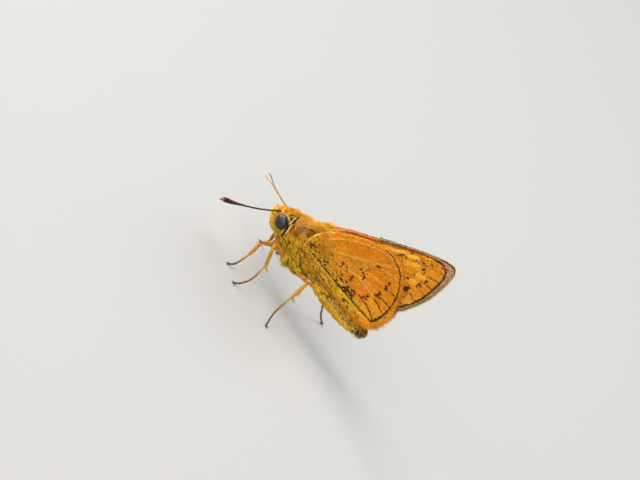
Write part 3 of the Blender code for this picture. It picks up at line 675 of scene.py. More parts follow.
class Wing:
    """One wing's outline, veins and surfaces. Its fringe stands outside the membrane."""

    def __init__(self, edge, hinge, veins, depth, fringe):
        self.root = np.array(hinge)
        self.depth = depth
        self.veins = veins
        self.outline = curve(edge, 8, closed=True)
        self.fringe = fringe(self.outline[:, 0], self.outline[:, 1])
        self.loop = offset_loop(self.outline, self.fringe)

    def raised(self, flat, rim):
        """Height of the veins from 0 to 1."""
        found = np.zeros(len(flat))
        for line in self.veins:
            found = np.maximum(found, 1 - smooth(0.2, 1.0, distance_to(flat, line) / VEIN_WIDE))
        return found * np.clip(rim / 0.35, 0.35, 1)

    def half(self, flat):
        """Half thickness over the flat points, veins included."""
        rim = distance_to(flat, ring_of(self.loop))
        return MEMBRANE * np.clip(0.45 + rim / 0.4, 0, 1) + VEIN_HIGH * self.raised(flat, rim)

    def surface(self, flat, face, side, lift=0.0):
        """The points of a face: 1 is the outer one and -1 the inner one."""
        level = self.depth(flat[:, 0], flat[:, 1]) + face * (self.half(flat) + lift)
        return np.column_stack([flat[:, 0], side * level, flat[:, 1]])

    def facing(self, flat, face, side):
        """Normals of a face, from the slope of the middle surface."""
        step = 0.04
        x, z = flat[:, 0], flat[:, 1]
        slope_x = (self.depth(x + step, z) - self.depth(x - step, z)) / (2 * step)
        slope_z = (self.depth(x, z + step) - self.depth(x, z - step)) / (2 * step)
        out = np.column_stack([-slope_x, np.ones(len(x)), -slope_z]) * face
        return unit(out * (1, side, 1))

    def sheet(self, pitch):
        """Flat points and triangles that fill the membrane's outline."""
        low, high = self.loop.min(axis=0), self.loop.max(axis=0)
        rows = np.arange(low[1], high[1], pitch * 0.87)
        places = np.arange(low[0], high[0], pitch)
        grid = np.array([(x + (j % 2) * pitch / 2, z) for j, z in enumerate(rows) for x in places])
        grid = grid[inside(grid, self.loop)]
        grid = grid[distance_to(grid, ring_of(self.loop)) > pitch * 0.6]
        count = len(self.loop)
        border = [(i, (i + 1) % count) for i in range(count)]
        spots = [Vector(p) for p in np.vstack([self.loop, grid])]
        flat, _, faces, *_ = delaunay_2d_cdt(spots, border, [list(range(count))], 1, 1e-6)
        return np.array([tuple(p) for p in flat]), np.array([tuple(f) for f in faces])

    def rows(self, pitch, along, draw):
        """Flat places of the scales, in rows across the way from the root to the margin."""
        found = []
        reach = np.linalg.norm(self.loop - self.root, axis=1).max()
        for radius in np.arange(0.4, reach, along):
            angles = np.arange(0, 2 * np.pi, pitch / radius) + draw.random() * pitch / radius
            ring = np.column_stack([np.cos(angles), np.sin(angles)]) * radius + self.root
            found.append(ring)
        found = np.vstack(found)
        found = found + draw.normal(0, 0.018, found.shape)
        return found[inside(found, self.loop)]


def fore_fringe(x, z):
    """Width of the fringe round a forewing: long on the outer margin, short on the leading edge."""
    outer = smooth(7.6, 8.8, x)
    lower = smooth(10.8, 9.6, z) * smooth(1.0, 7.0, x)
    return 0.05 + 0.32 * outer * smooth(18.2, 16.6, z) + 0.12 * lower * (1 - outer)


def hind_fringe(x, z):
    """Width of the fringe round a hindwing: widest at its lower corner."""
    outer = smooth(4.6, 6.4, x)
    lower = smooth(7.2, 6.2, z) * smooth(0.0, 3.0, x)
    corner = smooth(7.6, 8.4, x) * smooth(9.6, 8.4, z)
    return 0.05 + 0.40 * outer + 0.25 * lower * (1 - outer) + 0.30 * corner


FORE = Wing(FORE_EDGE, (-3.40, 7.20), vein_lines(FORE_ROOT, FORE_CELL, FORE_ENDS), fore_depth, fore_fringe)
HIND = Wing(HIND_EDGE, (-3.10, 6.40), vein_lines(HIND_ROOT, HIND_CELL, HIND_ENDS), hind_depth, hind_fringe)


def strength_of(flat, marks, soft=0.75):
    """How strongly the marks cover each point, from 0 to 1."""
    found = np.zeros(len(flat))
    for strength, half, line in marks:
        away = distance_to(flat, line) / half
        found = np.maximum(found, strength * (1 - smooth(1 - soft, 1 + soft, away)))
    return found


def wobbled(flat, amount, size, seed):
    """The points moved about by noise, so that marks get uneven edges."""
    spots = upright(flat)
    across = noise(spots, size, seed) - 0.5
    up = noise(spots, size, seed + 1) - 0.5
    return flat + np.column_stack([across, up]) * 2 * amount, spots


def past(flat, line):
    """How far each point lies beyond a line that runs up the wing."""
    x, z = np.array(line).T
    order = np.argsort(z)
    return flat[:, 0] - np.interp(flat[:, 1], z[order], x[order])


def line_spots(kind, draw):
    """Flat places of the narrow dark scales that draw the fine lines of an under face."""
    wing, margin = (HIND, HIND_LINE[1:]) if kind == "hind" else (FORE, FORE_LINE[6:])
    # Each row is a line, half its width, the spacing of its scales and the x where it starts.
    if kind == "hind":
        lines = [(HIND_LINE, 0.025, 0.030, 2.6), (HIND_LINE[6:], 0.06, 0.024, 7.0)]
        lines += [(HIND_FOLD, 0.016, 0.030, -1.4), (HIND_SHORT, 0.016, 0.030, 4.8)]
        lines += [(vein, 0.014, 0.050, 6.0) for vein in wing.veins[5:9]]
    else:
        lines = [(FORE_LINE, 0.03, 0.028, 1.5)]
        lines += [(vein, 0.012, 0.090, 6.5) for vein in wing.veins[4:10]]
        lines += [(vein, 0.012, 0.110, 3.2) for vein in wing.veins[10:13]]
    found = []
    for line, half, spacing, first in lines:
        path = curve(line, 12)
        along = lengths(path)
        spots = at_lengths(np.arange(0, along[-1], spacing), along, path)
        spots = spots + draw.normal(0, half * 0.6, spots.shape)
        keep = spots[:, 0] > first
        if half < 0.02 and len(line) > 8:
            keep &= past(spots, margin) < 0.02
        if kind == "fore":
            keep &= strength_of(spots, FORE_LIGHTS) < 0.35
            keep &= (half > 0.02) | ((past(spots, margin) > -1.0) & (spots[:, 1] < 15.8))
        found.append(spots[keep])
    return np.vstack(found)


def along_root(flat, root, reach, across):
    """Places for noise with grains drawn out on the way from a wing's root."""
    away = flat - np.asarray(root)
    radius = np.hypot(*away.T)
    turn = np.arctan2(away[:, 1], away[:, 0])
    return np.column_stack([radius / reach, turn * 6.0 / across, np.zeros(len(flat))])


def hind_under(flat):
    """Paint of the hindwing's under face and how dark each point is."""
    moved, spots = wobbled(flat, 0.07, 0.16, 3)
    x, z = moved.T
    broad = noise(spots, 1.1, 5)
    paint = mix(OCHRE, SAFFRON, 0.25 + 0.35 * broad)
    cell = 0.6 * (1 - smooth(0.4, 1.3, np.abs(z - 8.6 - 0.35 * x))) * (x < 3.4)
    paint = mix(paint, linear(196, 132, 28), cell)
    glow = 1 - smooth(0.55, 1.25, np.hypot((x - 4.75) / 1.25, (z - 9.35) / 1.35))
    paint = mix(paint, linear(222, 128, 30), 0.75 * glow)
    shine = np.zeros(len(flat))
    for line in HIND.veins:
        shine = np.maximum(shine, 1 - smooth(0.04, 0.13, distance_to(flat, line)))
    paint = mix(paint, linear(244, 184, 78), 0.42 * shine * smooth(8.2, 5.0, x))
    streaks = noise(along_root(flat, HIND_ROOT, 1.6, 1), 0.13, 7)
    paint = paint * (0.86 + 0.28 * streaks)[:, None]
    fold = smooth(7.5, 7.0, z - 0.06 * x) * smooth(7.4, 5.6, x)
    paint = mix(paint, mix(linear(224, 182, 36), linear(192, 160, 34), broad), 0.75 * fold)
    low = smooth(8.7, 7.4, z) * smooth(5.2, 2.4, x)
    paint = mix(paint, mix(STRAW, MOSS, broad), 0.6 * low)
    speck = noise(along_root(flat, HIND_ROOT, 2.6, 1), 0.12, 9)
    dusty = np.maximum(0.7 * fold, np.maximum(low, 0.8 * (1 - smooth(0.5, 1.2, np.hypot(x + 1.7, z - 7.0)))))
    dark = 0.95 * dusty * smooth(0.56, 0.70, speck)
    shoulder = distance_to(flat, ring_of(HIND.outline))
    pale = smooth(0.20, 0.06, shoulder) * smooth(-1.2, -1.9, x) * smooth(6.6, 7.0, z)
    paint = mix(paint, linear(250, 214, 110), 0.8 * pale)
    line = smooth(2.6, 4.6, flat[:, 0]) * strength_of(moved, [(0.95, 0.045, HIND_LINE)], 0.35)
    corner = [(1.1, 0.09, HIND_LINE[6:]), (1.1, 0.15, HIND_LINE[-2:])]
    folds = [(0.95, 0.055, HIND_FOLD), (0.95, 0.055, HIND_SHORT)]
    rays = strength_of(flat, [(0.55, 0.04, vein) for vein in HIND.veins[5:9]]) * smooth(5.6, 6.6, x)
    dark = np.max([dark, strength_of(moved, HIND_MARKS), line, strength_of(moved, corner, 0.4),
                   strength_of(flat, folds, 0.4), rays], axis=0)
    paint = mix(paint, linear(234, 156, 38), 0.65 * smooth(5.2, 6.2, x) * smooth(9.4, 8.6, z))
    outside = smooth(0.05, 0.30, past(moved, HIND_LINE[1:]))
    paint = mix(paint, linear(214, 150, 46), 0.6 * outside * smooth(3.5, 5.0, x))
    return paint, dark


def fore_under(flat):
    """Paint of the forewing's under face and how dark each point is."""
    moved, spots = wobbled(flat, 0.07, 0.16, 13)
    x, z = moved.T
    broad = noise(spots, 0.9, 15)
    paint = mix(linear(228, 150, 28), linear(224, 138, 36), 0.4 + 0.5 * broad)
    paint = mix(paint, linear(214, 154, 44), smooth(12.6, 10.4, z) * 0.7)
    streaks = noise(along_root(flat, FORE_ROOT, 2.4, 1), 0.10, 16)
    paint = paint * (0.84 + 0.32 * streaks)[:, None]
    paint = mix(paint, linear(255, 190, 66), strength_of(moved, FORE_LIGHTS[:3], 0.6))
    paint = mix(paint, linear(252, 182, 60), 0.9 * strength_of(moved, FORE_LIGHTS[3:], 0.7))
    edge = distance_to(flat, FORE_LINE)
    rim = distance_to(flat, ring_of(FORE.outline))
    beyond = smooth(0.02, 0.12, past(flat, FORE_LINE[6:]))
    border = np.maximum(beyond * (flat[:, 1] > 10.2), smooth(0.62, 0.48, rim)) * (x > 6.6)
    ashen = mix(linear(184, 144, 92), BROWN, 0.05 + 0.5 * noise(spots, 0.12, 17))
    # the border's own pinkish tint, with a painted pinkish highlight that grows towards the apex
    ashen = mix(ashen, PINK, (0.25 + 0.5 * smooth(14.2, 16.4, z)) * noise(spots, 0.3, 20))
    paint = mix(paint, ashen, border * smooth(6.8, 7.6, x))
    costa = smooth(0.42 - 0.12 * smooth(1.0, 3.0, x), 0.12, rim) * smooth(8.4, 6.4, x) * smooth(9.6, 11.0, z)
    paint = mix(paint, mix(RUST, BROWN, 0.25 + 0.5 * noise(spots, 0.3, 18)), costa)
    dark = strength_of(moved, FORE_MARKS)
    dark = np.maximum(dark, 1.0 * (1 - smooth(0.05, 0.11, edge)))
    rays = strength_of(flat, [(0.45, 0.04, vein) for vein in FORE.veins[4:]])
    dark = np.maximum(dark, rays * smooth(-1.3, -0.9, past(flat, FORE_LINE[6:])) * smooth(16.4, 15.6, z))
    gaps = strength_of(flat, [(0.32, 0.045, vein) for vein in FORE.veins[9:13]])
    dark = np.maximum(dark, gaps * smooth(2.5, 4.0, x)) * (1 - 0.9 * strength_of(flat, FORE_LIGHTS))
    speck = noise(spots, 0.10, 19)
    dark = np.maximum(dark, 0.45 * smooth(0.64, 0.80, speck) * smooth(11.5, 10.0, z))
    return paint, dark


def upper(flat, wing, band):
    """Paint of an upper face: brown, with an orange band and an orange streak along the cell."""
    moved, spots = wobbled(flat, 0.12, 0.25, 23)
    broad = noise(spots, 0.5, 25)
    paint = mix(linear(88, 54, 26), linear(62, 38, 22), broad)
    orange = mix(linear(226, 142, 36), SAFFRON, noise(spots, 0.7, 26))
    paint = mix(paint, orange, strength_of(moved, band, 0.25))
    if wing is FORE:
        rim = distance_to(flat, ring_of(wing.outline))
        x, z = flat.T
        front = smooth(1.0, 0.3, rim) * smooth(8.0, 6.0, x) * smooth(8.6, 9.6, z + 0.2 * rim)
        front *= z > 9.0 + 0.75 * x
        tone = mix(mix(RUST, orange, 0.6 * broad), linear(138, 96, 60), 0.8 * smooth(1.0, 2.6, x))
        paint = mix(paint, tone, front)
    return paint, 0.30 * smooth(0.55, 0.8, noise(spots, 0.12, 27))


FORE_BAND = [
    (1.0, 0.55, [(1.0, 10.3), (3.6, 11.1), (6.2, 12.6), (7.2, 13.9), (6.6, 15.3)]),
    (0.95, 0.42, [(-1.2, 9.9), (0.8, 11.5), (2.6, 12.8), (3.9, 13.6)]),
    (0.9, 0.26, [(-2.1, 9.1), (-0.8, 10.7), (1.2, 12.4), (3.4, 14.1)]),
]
HIND_BAND = [
    (1.0, 0.85, [(3.0, 8.2), (4.7, 9.2), (5.2, 10.8)]),
    (0.9, 0.45, [(0.4, 9.4), (1.4, 10.0)]),
]
FACES = {
    ("fore", 1): fore_under,
    ("hind", 1): hind_under,
    ("fore", -1): lambda flat: upper(flat, FORE, FORE_BAND),
    ("hind", -1): lambda flat: upper(flat, HIND, HIND_BAND),
}


def scaled_paint(paint, dark, draw):
    """Root and tip paint of scales: each one is either plain or dark, and no two are quite alike."""
    is_dark = draw.random(len(paint)) < dark * 1.15 - 0.06
    tone = draw.normal(1.0, 0.13, len(paint))[:, None]
    warm = draw.normal(0.0, 0.05, len(paint))[:, None] * (1, 0, -1)
    light = np.clip(paint * tone * (1 + warm), 0, 1)
    shade = mix(BROWN, BLACK, draw.random(len(paint)) * 0.8)
    tips = np.where(is_dark[:, None], shade, light)
    return tips * 0.62, tips * 1.06


def wing_map(flat, wing):
    """Places of flat points on the wing's map, from 0 to 1."""
    low, high = wing.outline.min(axis=0), wing.outline.max(axis=0)
    return (flat - low) / (high - low) * 0.96 + 0.02


def wing_skin(kind, wing, side, word, material):
    """The membrane of one wing, with both faces and raised veins."""
    flat, faces = wing.flat_points, wing.flat_faces
    outer, inner = (wing.surface(flat, face, side) for face in (1, -1))
    n = len(flat)
    if side > 0:
        faces = faces[:, ::-1]
    skin = [faces, faces[:, ::-1] + n]
    pairs = {pair for face in faces.tolist() for pair in zip(face, face[1:] + face[:1])}
    walls = []
    for a, b in sorted(pairs):
        if (b, a) not in pairs:
            walls += [(b, a, n + a), (b, n + a, n + b)]
    skin.append(np.array(walls))
    paint = []
    for face in (1, -1):
        colour, dark = FACES[kind, face](flat)
        paint.append(mix(colour, BROWN, 0.9 * dark) * 0.92)
    name = f"{kind}wing_{word}"
    piece = mesh_piece(name + "_skin", np.vstack([outer, inner]), np.vstack(skin), np.vstack(paint))
    return dress(piece, material, f"{kind}wing_scales", name)


def wing_coat(kind, wing, face, side, word, material, draw):
    """The scales of one face, in overlapping rows that point from the root to the margin."""
    outside = face > 0
    flat = wing.rows(*(OUTER_ROWS if outside else INNER_ROWS), draw)
    hidden = np.zeros(len(flat), bool)
    if kind == "fore" and outside:
        hidden = inside(flat, HIND.loop) & (distance_to(flat, ring_of(HIND.loop)) > 0.45)
    if not outside:
        hidden = distance_to(flat, ring_of(wing.loop)) > 1.6
    flat = flat[~hidden | (draw.random(len(flat)) < 0.15)]
    narrow = np.zeros(len(flat), bool)
    if outside:
        lines = line_spots(kind, draw)
        flat = np.vstack([flat, lines])
        narrow = np.concatenate([narrow, np.ones(len(lines), bool)])
    paint, dark = FACES[kind, face](flat)
    dark = np.where(narrow, 2.0, dark)
    count = len(flat)
    way = unit(flat - wing.root)
    turn = draw.normal(0, 0.16, count)
    way = np.column_stack([way[:, 0] - turn * way[:, 1], way[:, 1] + turn * way[:, 0]])
    ways = upright(way)
    size = 1.0 if outside else 1.1
    roots = wing.surface(flat, face, side, np.where(narrow, 0.022, 0.004))
    length = np.where(narrow, draw.uniform(0.13, 0.19, count), size * draw.uniform(0.20, 0.27, count))
    width = np.where(narrow, draw.uniform(0.045, 0.065, count), size * draw.uniform(0.090, 0.120, count))
    shape = blades(roots, wing.facing(flat, face, side), ways, length, width, thick=0.006,
                   lift=draw.uniform(0.12, 0.26, count), droop=0.55, cuts=SCALE_CUTS, sink=0.03)
    root_paint, tip_paint = scaled_paint(paint, dark, draw)
    name = f"{kind}wing_{word}_{'outer' if outside else 'inner'}_scales"
    return coat(name, shape, SCALE_CUTS, root_paint, tip_paint, wing_map(flat, wing), material,
                f"{kind}wing_scales")


def fringe_paint(kind, spots, layer, draw):
    """Root and tip paint of the fringe at these flat places."""
    x = spots[:, 0]
    count = len(spots)
    if kind == "hind":
        tips = mix(SAFFRON, YELLOW, draw.random(count) * 0.7)
        return tips * 0.55, tips * 1.05
    cream = mix(linear(234, 212, 132), CREAM, draw.random(count))
    grey = mix(TAN, BROWN, draw.random(count) * 0.6)
    outer = smooth(7.6, 8.6, x)
    edge = mix(mix(RUST, TAN, 0.8 * smooth(0.6, 2.4, x)), cream, 0.2 + 0.6 * draw.random(count))
    tips = np.where((outer > 0.3)[:, None], cream if layer else grey, edge)
    roots = mix(BROWN, grey, 0.5 * draw.random(count))
    return roots, tips


def wing_fringe(kind, wing, side, word, material, draw):
    """Hairlike scales that stand out from the margin in its plane, in three layers."""
    ring = ring_of(wing.loop)
    out = ring_of(wing.outline)
    along = lengths(ring)
    parts, shades = [], []
    for layer, spacing, reach in ((0, 0.026, 0.70), (1, 0.030, 1.0), (0, 0.03, 0.80)):
        marks = np.arange(0, along[-1], spacing) + draw.uniform(0, spacing)
        start, end = at_lengths(marks, along, ring), at_lengths(marks, along, out)
        lean = unit(start - wing.root) * 0.10
        way = end - start + lean * np.linalg.norm(end - start, axis=1, keepdims=True) * 3
        length = np.linalg.norm(end - start, axis=1) * reach * draw.uniform(0.78, 1.12, len(marks)) + 0.05
        keep = length > 0.07
        start, way, length = start[keep], unit(way[keep]), length[keep]
        inwards = start - way * 0.08
        level = wing.depth(inwards[:, 0], inwards[:, 1])
        roots = np.column_stack([inwards[:, 0], side * (level + draw.uniform(-0.03, 0.03, len(level))),
                                 inwards[:, 1]])
        parts.append((roots, wing.facing(inwards, 1, side), upright(way), length + 0.08))
        shades.append(fringe_paint(kind, start, layer, draw) + (start,))
    roots, normals, ways, length = (np.concatenate(rows) for rows in zip(*parts))
    root_paint, tip_paint, places = (np.concatenate(rows) for rows in zip(*shades))
    count = len(roots)
    shape = blades(roots, normals, ways, length=length, width=draw.uniform(0.035, 0.055, count), thick=0.018,
                   lift=draw.normal(0, 0.10, count), bend=draw.normal(0, 0.14, count), sink=0.004)
    return coat(f"{kind}wing_{word}_fringe", shape, HAIR_CUTS, root_paint, tip_paint, wing_map(places, wing),
                material, f"{kind}wing_scales")


def raised_hair(flat, wing):
    """How far the hair stands up over the leading edge of a forewing's root, from 0 to 1."""
    x, z = flat.T
    rim = distance_to(flat, ring_of(wing.outline))
    return smooth(0.75, 0.20, rim) * smooth(-0.4, -1.4, x) * smooth(8.0, 8.6, z)


def base_hair(kind, wing, side, word, material, draw):
    """Long hairs over the root of a wing and, on a hindwing, along its inner fold."""
    flat = wing.rows(0.10, 0.13, draw)
    x, z = flat.T
    if kind == "hind":
        near = (1 - smooth(0.6, 3.0, np.hypot(x + 1.7, (z - 6.7) * 1.2))) * smooth(7.6, 7.0, z)
        near = np.maximum(near, 0.30 * smooth(7.2, 6.5, z) * smooth(7.0, 2.0, x))
    else:
        rim = distance_to(flat, ring_of(wing.outline))
        near = (1 - smooth(0.5, 3.4, np.hypot(x + 2.6, z - 8.2))) * (1 - 0.6 * smooth(0.3, 0.9, rim))
        near = np.maximum(near, raised_hair(flat, wing))
    flat = flat[draw.random(len(flat)) < near]
    count = len(flat)
    brow = raised_hair(flat, wing) if kind == "fore" else np.zeros(count)
    way = unit(flat - wing.root + 1e-3)
    down = draw.normal(-0.05, 0.30, count) + 0.9 * brow
    ways = np.column_stack([np.maximum(way[:, 0], -0.1) + 0.7, np.zeros(count), way[:, 1] + down])
    tone = draw.random(count)
    tips = mix(YELLOW, GOLD, tone)
    shade = np.full(count, 0.20)
    if kind == "fore":
        # on a forewing, more hairs are brown near the line before the hindwing's shoulder: painted shade of
        # that gap
        shade = 0.2 + 0.45 * (1 - smooth(0.2, 0.55, distance_to(flat, [(-3.05, 7.7), (-2.75, 8.5)])))
    tips = np.where((draw.random(count) < shade)[:, None], BROWN, tips)
    long = 0.85 if kind == "fore" else 0.65
    shape = blades(wing.surface(flat, 1, side), wing.facing(flat, 1, side), ways,
                   length=draw.uniform(0.30, long, count) + 0.40 * brow,
                   width=draw.uniform(0.026, 0.040, count), thick=0.016,
                   lift=draw.uniform(0.08, 0.22, count), droop=0.8, bend=draw.normal(0, 0.2, count))
    return coat(f"{kind}wing_{word}_base_hair", shape, HAIR_CUTS, tips * 0.5, tips, stretched(flat),
                material, "yellow_coat")


# Body along X: (x, z, half width, height up, height down, lean)

THORAX = [
    (-4.86, 5.80, 0.35, 0.40, 0.40, 0.10), (-4.82, 5.80, 1.05, 1.30, 1.25, 0.16),
    (-4.60, 5.82, 1.32, 1.86, 1.90, 0.24), (-4.15, 5.88, 1.46, 2.30, 2.14, 0.26),
    (-3.35, 5.92, 1.60, 2.72, 2.20, 0.14), (-2.35, 5.92, 1.65, 2.90, 2.22, 0),
    (-1.30, 5.85, 1.60, 2.56, 2.14, 0), (-0.40, 5.72, 1.45, 1.92, 1.98, 0),
    (0.25, 5.55, 1.25, 1.46, 1.72, 0), (0.72, 5.40, 1.05, 1.16, 1.38, 0),
    (0.97, 5.30, 0.60, 0.65, 0.80, 0),
]
ABDOMEN = [
    (0.62, 5.32, 0.60, 0.64, 0.70, 0), (1.20, 5.30, 0.96, 1.05, 1.22, 0), (2.20, 5.20, 1.06, 1.16, 1.28, 0),
    (3.40, 5.14, 1.08, 1.18, 1.28, 0), (4.60, 5.15, 1.06, 1.15, 1.22, 0), (5.70, 5.20, 1.00, 1.10, 1.15, 0),
    (6.60, 5.28, 0.92, 1.02, 1.06, 0), (7.40, 5.38, 0.80, 0.90, 0.92, 0), (8.00, 5.50, 0.58, 0.68, 0.62, 0),
    (8.34, 5.62, 0.34, 0.38, 0.34, 0),
]
SEGMENT_ENDS = (1.25, 2.25, 3.25, 4.25, 5.25, 6.10, 6.85, 7.45, 7.95)
HEAD = [
    (-6.86, 5.95, 0.30, 0.25, 0.30, 0), (-6.78, 5.96, 0.66, 0.60, 0.62, 0),
    (-6.46, 6.00, 0.95, 0.94, 0.92, 0), (-6.00, 6.05, 1.16, 1.18, 1.12, 0),
    (-5.50, 6.05, 1.22, 1.26, 1.20, 0), (-5.12, 6.00, 1.10, 1.10, 1.10, 0),
    (-4.90, 5.95, 0.85, 0.85, 0.85, 0),
]
PALP = [(-4.86, 0.52, 4.76), (-5.36, 0.54, 4.74), (-5.94, 0.52, 4.90), (-6.50, 0.49, 5.32),
        (-6.88, 0.51, 5.70), (-7.04, 0.52, 6.00)]
PALP_THICK = (0.20, 0.30, 0.33, 0.26, 0.13, 0.06)


def on_side(points, side):
    """Points given for the right side, on this side."""
    return np.asarray(points, float) * (1, side, 1)


def segment_swell(x):
    """How much fuller the abdomen is at x: each segment widens towards its rear edge."""
    starts = (0.62,) + SEGMENT_ENDS
    for a, b in zip(starts[:-1], starts[1:]):
        if a < x <= b:
            return 0.955 + 0.075 * (x - a) / (b - a)
    return 1.0


def abdomen_shape():
    """The abdomen with its segments."""
    base = curve(ABDOMEN, 8)
    rows = []
    marks = [end + step for end in SEGMENT_ENDS for step in (-0.02, 0.05)]
    for x in sorted(list(base[:, 0]) + marks):
        row = [np.interp(x, base[:, 0], base[:, k]) for k in range(5)]
        rows.append(row[:2] + [v * segment_swell(x) for v in row[2:]] + [0])
    return body_shape(rows, ABDOMEN_DEEP, per=1)


def body_skin():
    """One closed skin for the head, palps, thorax, leg sockets and abdomen."""
    shapes = [
        body_shape(THORAX, THORAX_DEEP), body_shape(HEAD, HEAD_DEEP), abdomen_shape(),
        ellipsoid((-4.82, 0, 5.85), (0.50, 0.72, 0.80)),
        ellipsoid((-5.32, 0, 6.97), (0.50, 0.78, 0.44), 24),
        ellipsoid((-4.86, 0, 5.00), (0.50, 0.80, 0.52)),
        ellipsoid((-0.90, 0, 7.58), (0.66, 0.50, 0.36), -28),
        ellipsoid((-3.25, 0, 4.20), (1.35, 0.95, 0.52)),
        ellipsoid((-1.45, 0, 4.28), (1.40, 0.95, 0.52)),
    ]
    for side in (-1, 1):
        shapes.append(ellipsoid((-3.05, side * 1.02, 7.48), (0.66, 0.36, 0.36), -12))
        shapes.append(tube(on_side(PALP, side), PALP_THICK))
        for kind in ("fore", "mid", "hind"):
            x, y, z = LEGS[kind]["root"]
            shapes.append(ellipsoid((x + 0.15, side * (y - 0.22), z + 0.22), (0.52, 0.42, 0.42)))
            shapes.append(ellipsoid((x + 0.05, side * (y - 0.02), z), (0.32, 0.28, 0.28)))
    return fused(shapes, BODY_VOXEL, 3)


def eye_reach(p, grow=0.0):
    """Distance from the nearer eye's centre as a share of its radius, 1 on its surface."""
    x, y, z = p[:, 0] - EYE_AT[0], np.abs(p[:, 1]) - EYE_AT[1], p[:, 2] - EYE_AT[2]
    x, z = TILT_COS * x + TILT_SIN * z, TILT_COS * z - TILT_SIN * x
    a, b, c = (radius + grow for radius in EYE)
    return np.sqrt((x / a) ** 2 + (y / b) ** 2 + (z / c) ** 2)


def regions(p):
    """Which points of the body's skin belong to a palp, the head, the abdomen and the thorax."""
    mirrored = np.column_stack([p[:, 0], np.abs(p[:, 1]), p[:, 2]])
    palp = (distance_to(mirrored, curve(PALP, 3)) < 0.44) & (p[:, 0] < -4.95) & (p[:, 2] < 6.15)
    collar = 0.72 * smooth(6.70, 7.15, p[:, 2])
    head = (p[:, 0] < HEAD_BACK - collar) & ~palp
    abdomen = p[:, 0] > ABDOMEN_FRONT
    return palp, head, abdomen, ~(palp | head | abdomen)


def painted_gap_shade(p):
    """How deep each point lies in the gap before a hindwing's shoulder, where shade is painted dark, from 0
    to 1.
    """
    flat = p[:, [0, 2]]
    away = np.minimum(distance_to(flat, [(-3.00, 7.95), (-2.48, 8.84)]) / 1.2,
                      distance_to(flat, [(-2.76, 7.58), (-2.66, 8.40)]))
    return (1 - smooth(0.14, 0.26, away)) * smooth(0.5, 0.8, np.abs(p[:, 1]))


def thorax_paint(p, broad, blotch, speck):
    """Paint of the thorax's coat and how dark each point is, from three noises of falling grain."""
    x, y, z = p[:, 0], np.abs(p[:, 1]), p[:, 2]
    flat = p[:, [0, 2]]
    low = mix(linear(248, 196, 56), linear(210, 168, 44), 0.30 + 0.5 * blotch)
    mid = mix(linear(252, 184, 48), linear(255, 190, 54), 0.30 + 0.5 * broad)
    body = mix(low, mid, smooth(4.4, 5.9, z + 0.6 * (broad - 0.5)))
    body = mix(body, mix(linear(236, 168, 44), linear(222, 138, 26), 0.6 * broad), smooth(6.9, 7.7, z))
    fleck = noise(p * (0.6, 1, 0.45), 0.11, 44)
    dark = 0.68 * smooth(0.54, 0.72, fleck) * smooth(7.9, 6.6, z) * (0.4 + 0.8 * blotch) + 0.05
    front = smooth(0.70, 1.0, y)
    between = distance_to(flat, NAPE_DARK[0])
    dark = np.maximum(dark, 0.9 * front * (1 - smooth(0.05, 0.20, between)))
    upper_side = np.exp(-(np.hypot((x + 4.0) / 0.75, (z - 6.9) / 0.75) ** 2)) * smooth(0.7, 1.0, y)
    body = mix(body, linear(190, 102, 26), 0.80 * upper_side)
    dark = np.maximum(dark, 0.40 * upper_side * smooth(0.45, 0.65, blotch))
    plum = np.exp(-(np.hypot((x + 3.69) / 0.34, (z - 7.40) / 0.32) ** 4)) * smooth(0.7, 1.0, y)
    body = mix(body, mix(linear(132, 84, 84), linear(214, 150, 110), 0.8 * speck), 0.85 * plum)
    dark = np.where(plum > 0.4, 0.35 * (speck > 0.55), dark)
    # painted shade in the gap before the hindwing's shoulder
    dark = np.maximum(dark, 0.62 * painted_gap_shade(p))
    joint = 1 - smooth(0.10, 0.30, distance_to(flat, [(-1.75, 6.25), (-1.45, 6.20)]))
    dark = np.maximum(dark, 0.95 * joint * smooth(0.9, 1.2, y))
    knee = np.exp(-(np.hypot((x + 0.35) / 0.7, (z - 4.25) / 0.40) ** 2))
    return body, np.maximum(dark, 0.95 * knee * smooth(0.35, 0.5, blotch))


def head_paint(p, blotch, speck):
    """Paint of the head's coat and how dark each point is."""
    x, _, z = p.T
    crown = mix(GOLD, AMBER, 0.75 * blotch)
    face = mix(crown, 0.75 * YELLOW + 0.25 * OLIVE, smooth(5.9, 5.2, z))
    face = mix(face, linear(236, 140, 44), 0.5 * smooth(0.55, 0.75, noise(p, 0.35, 46)) * smooth(6.2, 6.8, z))
    face = mix(face, linear(255, 170, 44), 0.55 * smooth(-6.0, -6.5, x) * smooth(5.4, 6.0, z))
    round_eye = 1 - smooth(1.20, 1.50, eye_reach(p))
    rear = smooth(0.10, 0.40, 0.9 * (x - EYE_AT[0]) - 0.3 * (z - EYE_AT[2]))
    rim = mix(linear(248, 186, 62), linear(255, 232, 180), rear)
    face = mix(face, rim, 0.95 * round_eye)
    dark = 0.6 * smooth(0.60, 0.76, speck) * smooth(5.8, 6.6, z) * (1 - round_eye)
    gap = smooth(-6.05, -5.80, x) * smooth(6.8, 7.2, z)
    return face, np.maximum(dark, 0.6 * gap * smooth(0.4, 0.6, blotch))


def abdomen_paint(p, broad, blotch, speck):
    """Paint of the abdomen's scales and how dark each point is."""
    x, _, z = p.T
    side_band = 1 - smooth(0.20, 0.62, np.abs(z - 5.32))
    rear = smooth(6.9, 7.9, x)
    belly = mix(linear(222, 164, 44), linear(242, 192, 50), 0.7 * blotch)
    back = mix(AMBER, BROWN, smooth(5.9, 6.2, z) * 0.6)
    paint = mix(belly, back, smooth(5.6, 6.0, z))
    paint = mix(paint, linear(124, 102, 32), 0.75 * rear * smooth(5.2, 5.7, z + 0.5 * (broad - 0.5)))
    fine = noise(p, 0.07, 47)
    ash = np.maximum(0.62 * side_band * smooth(0.45, 0.62, fine), 0.35 * smooth(0.62, 0.78, fine))
    ash = np.maximum(ash, 0.7 * rear * smooth(0.35, 0.6, blotch))
    return mix(paint, linear(196, 172, 118), 0.6 * side_band * smooth(0.55, 0.35, speck)), ash


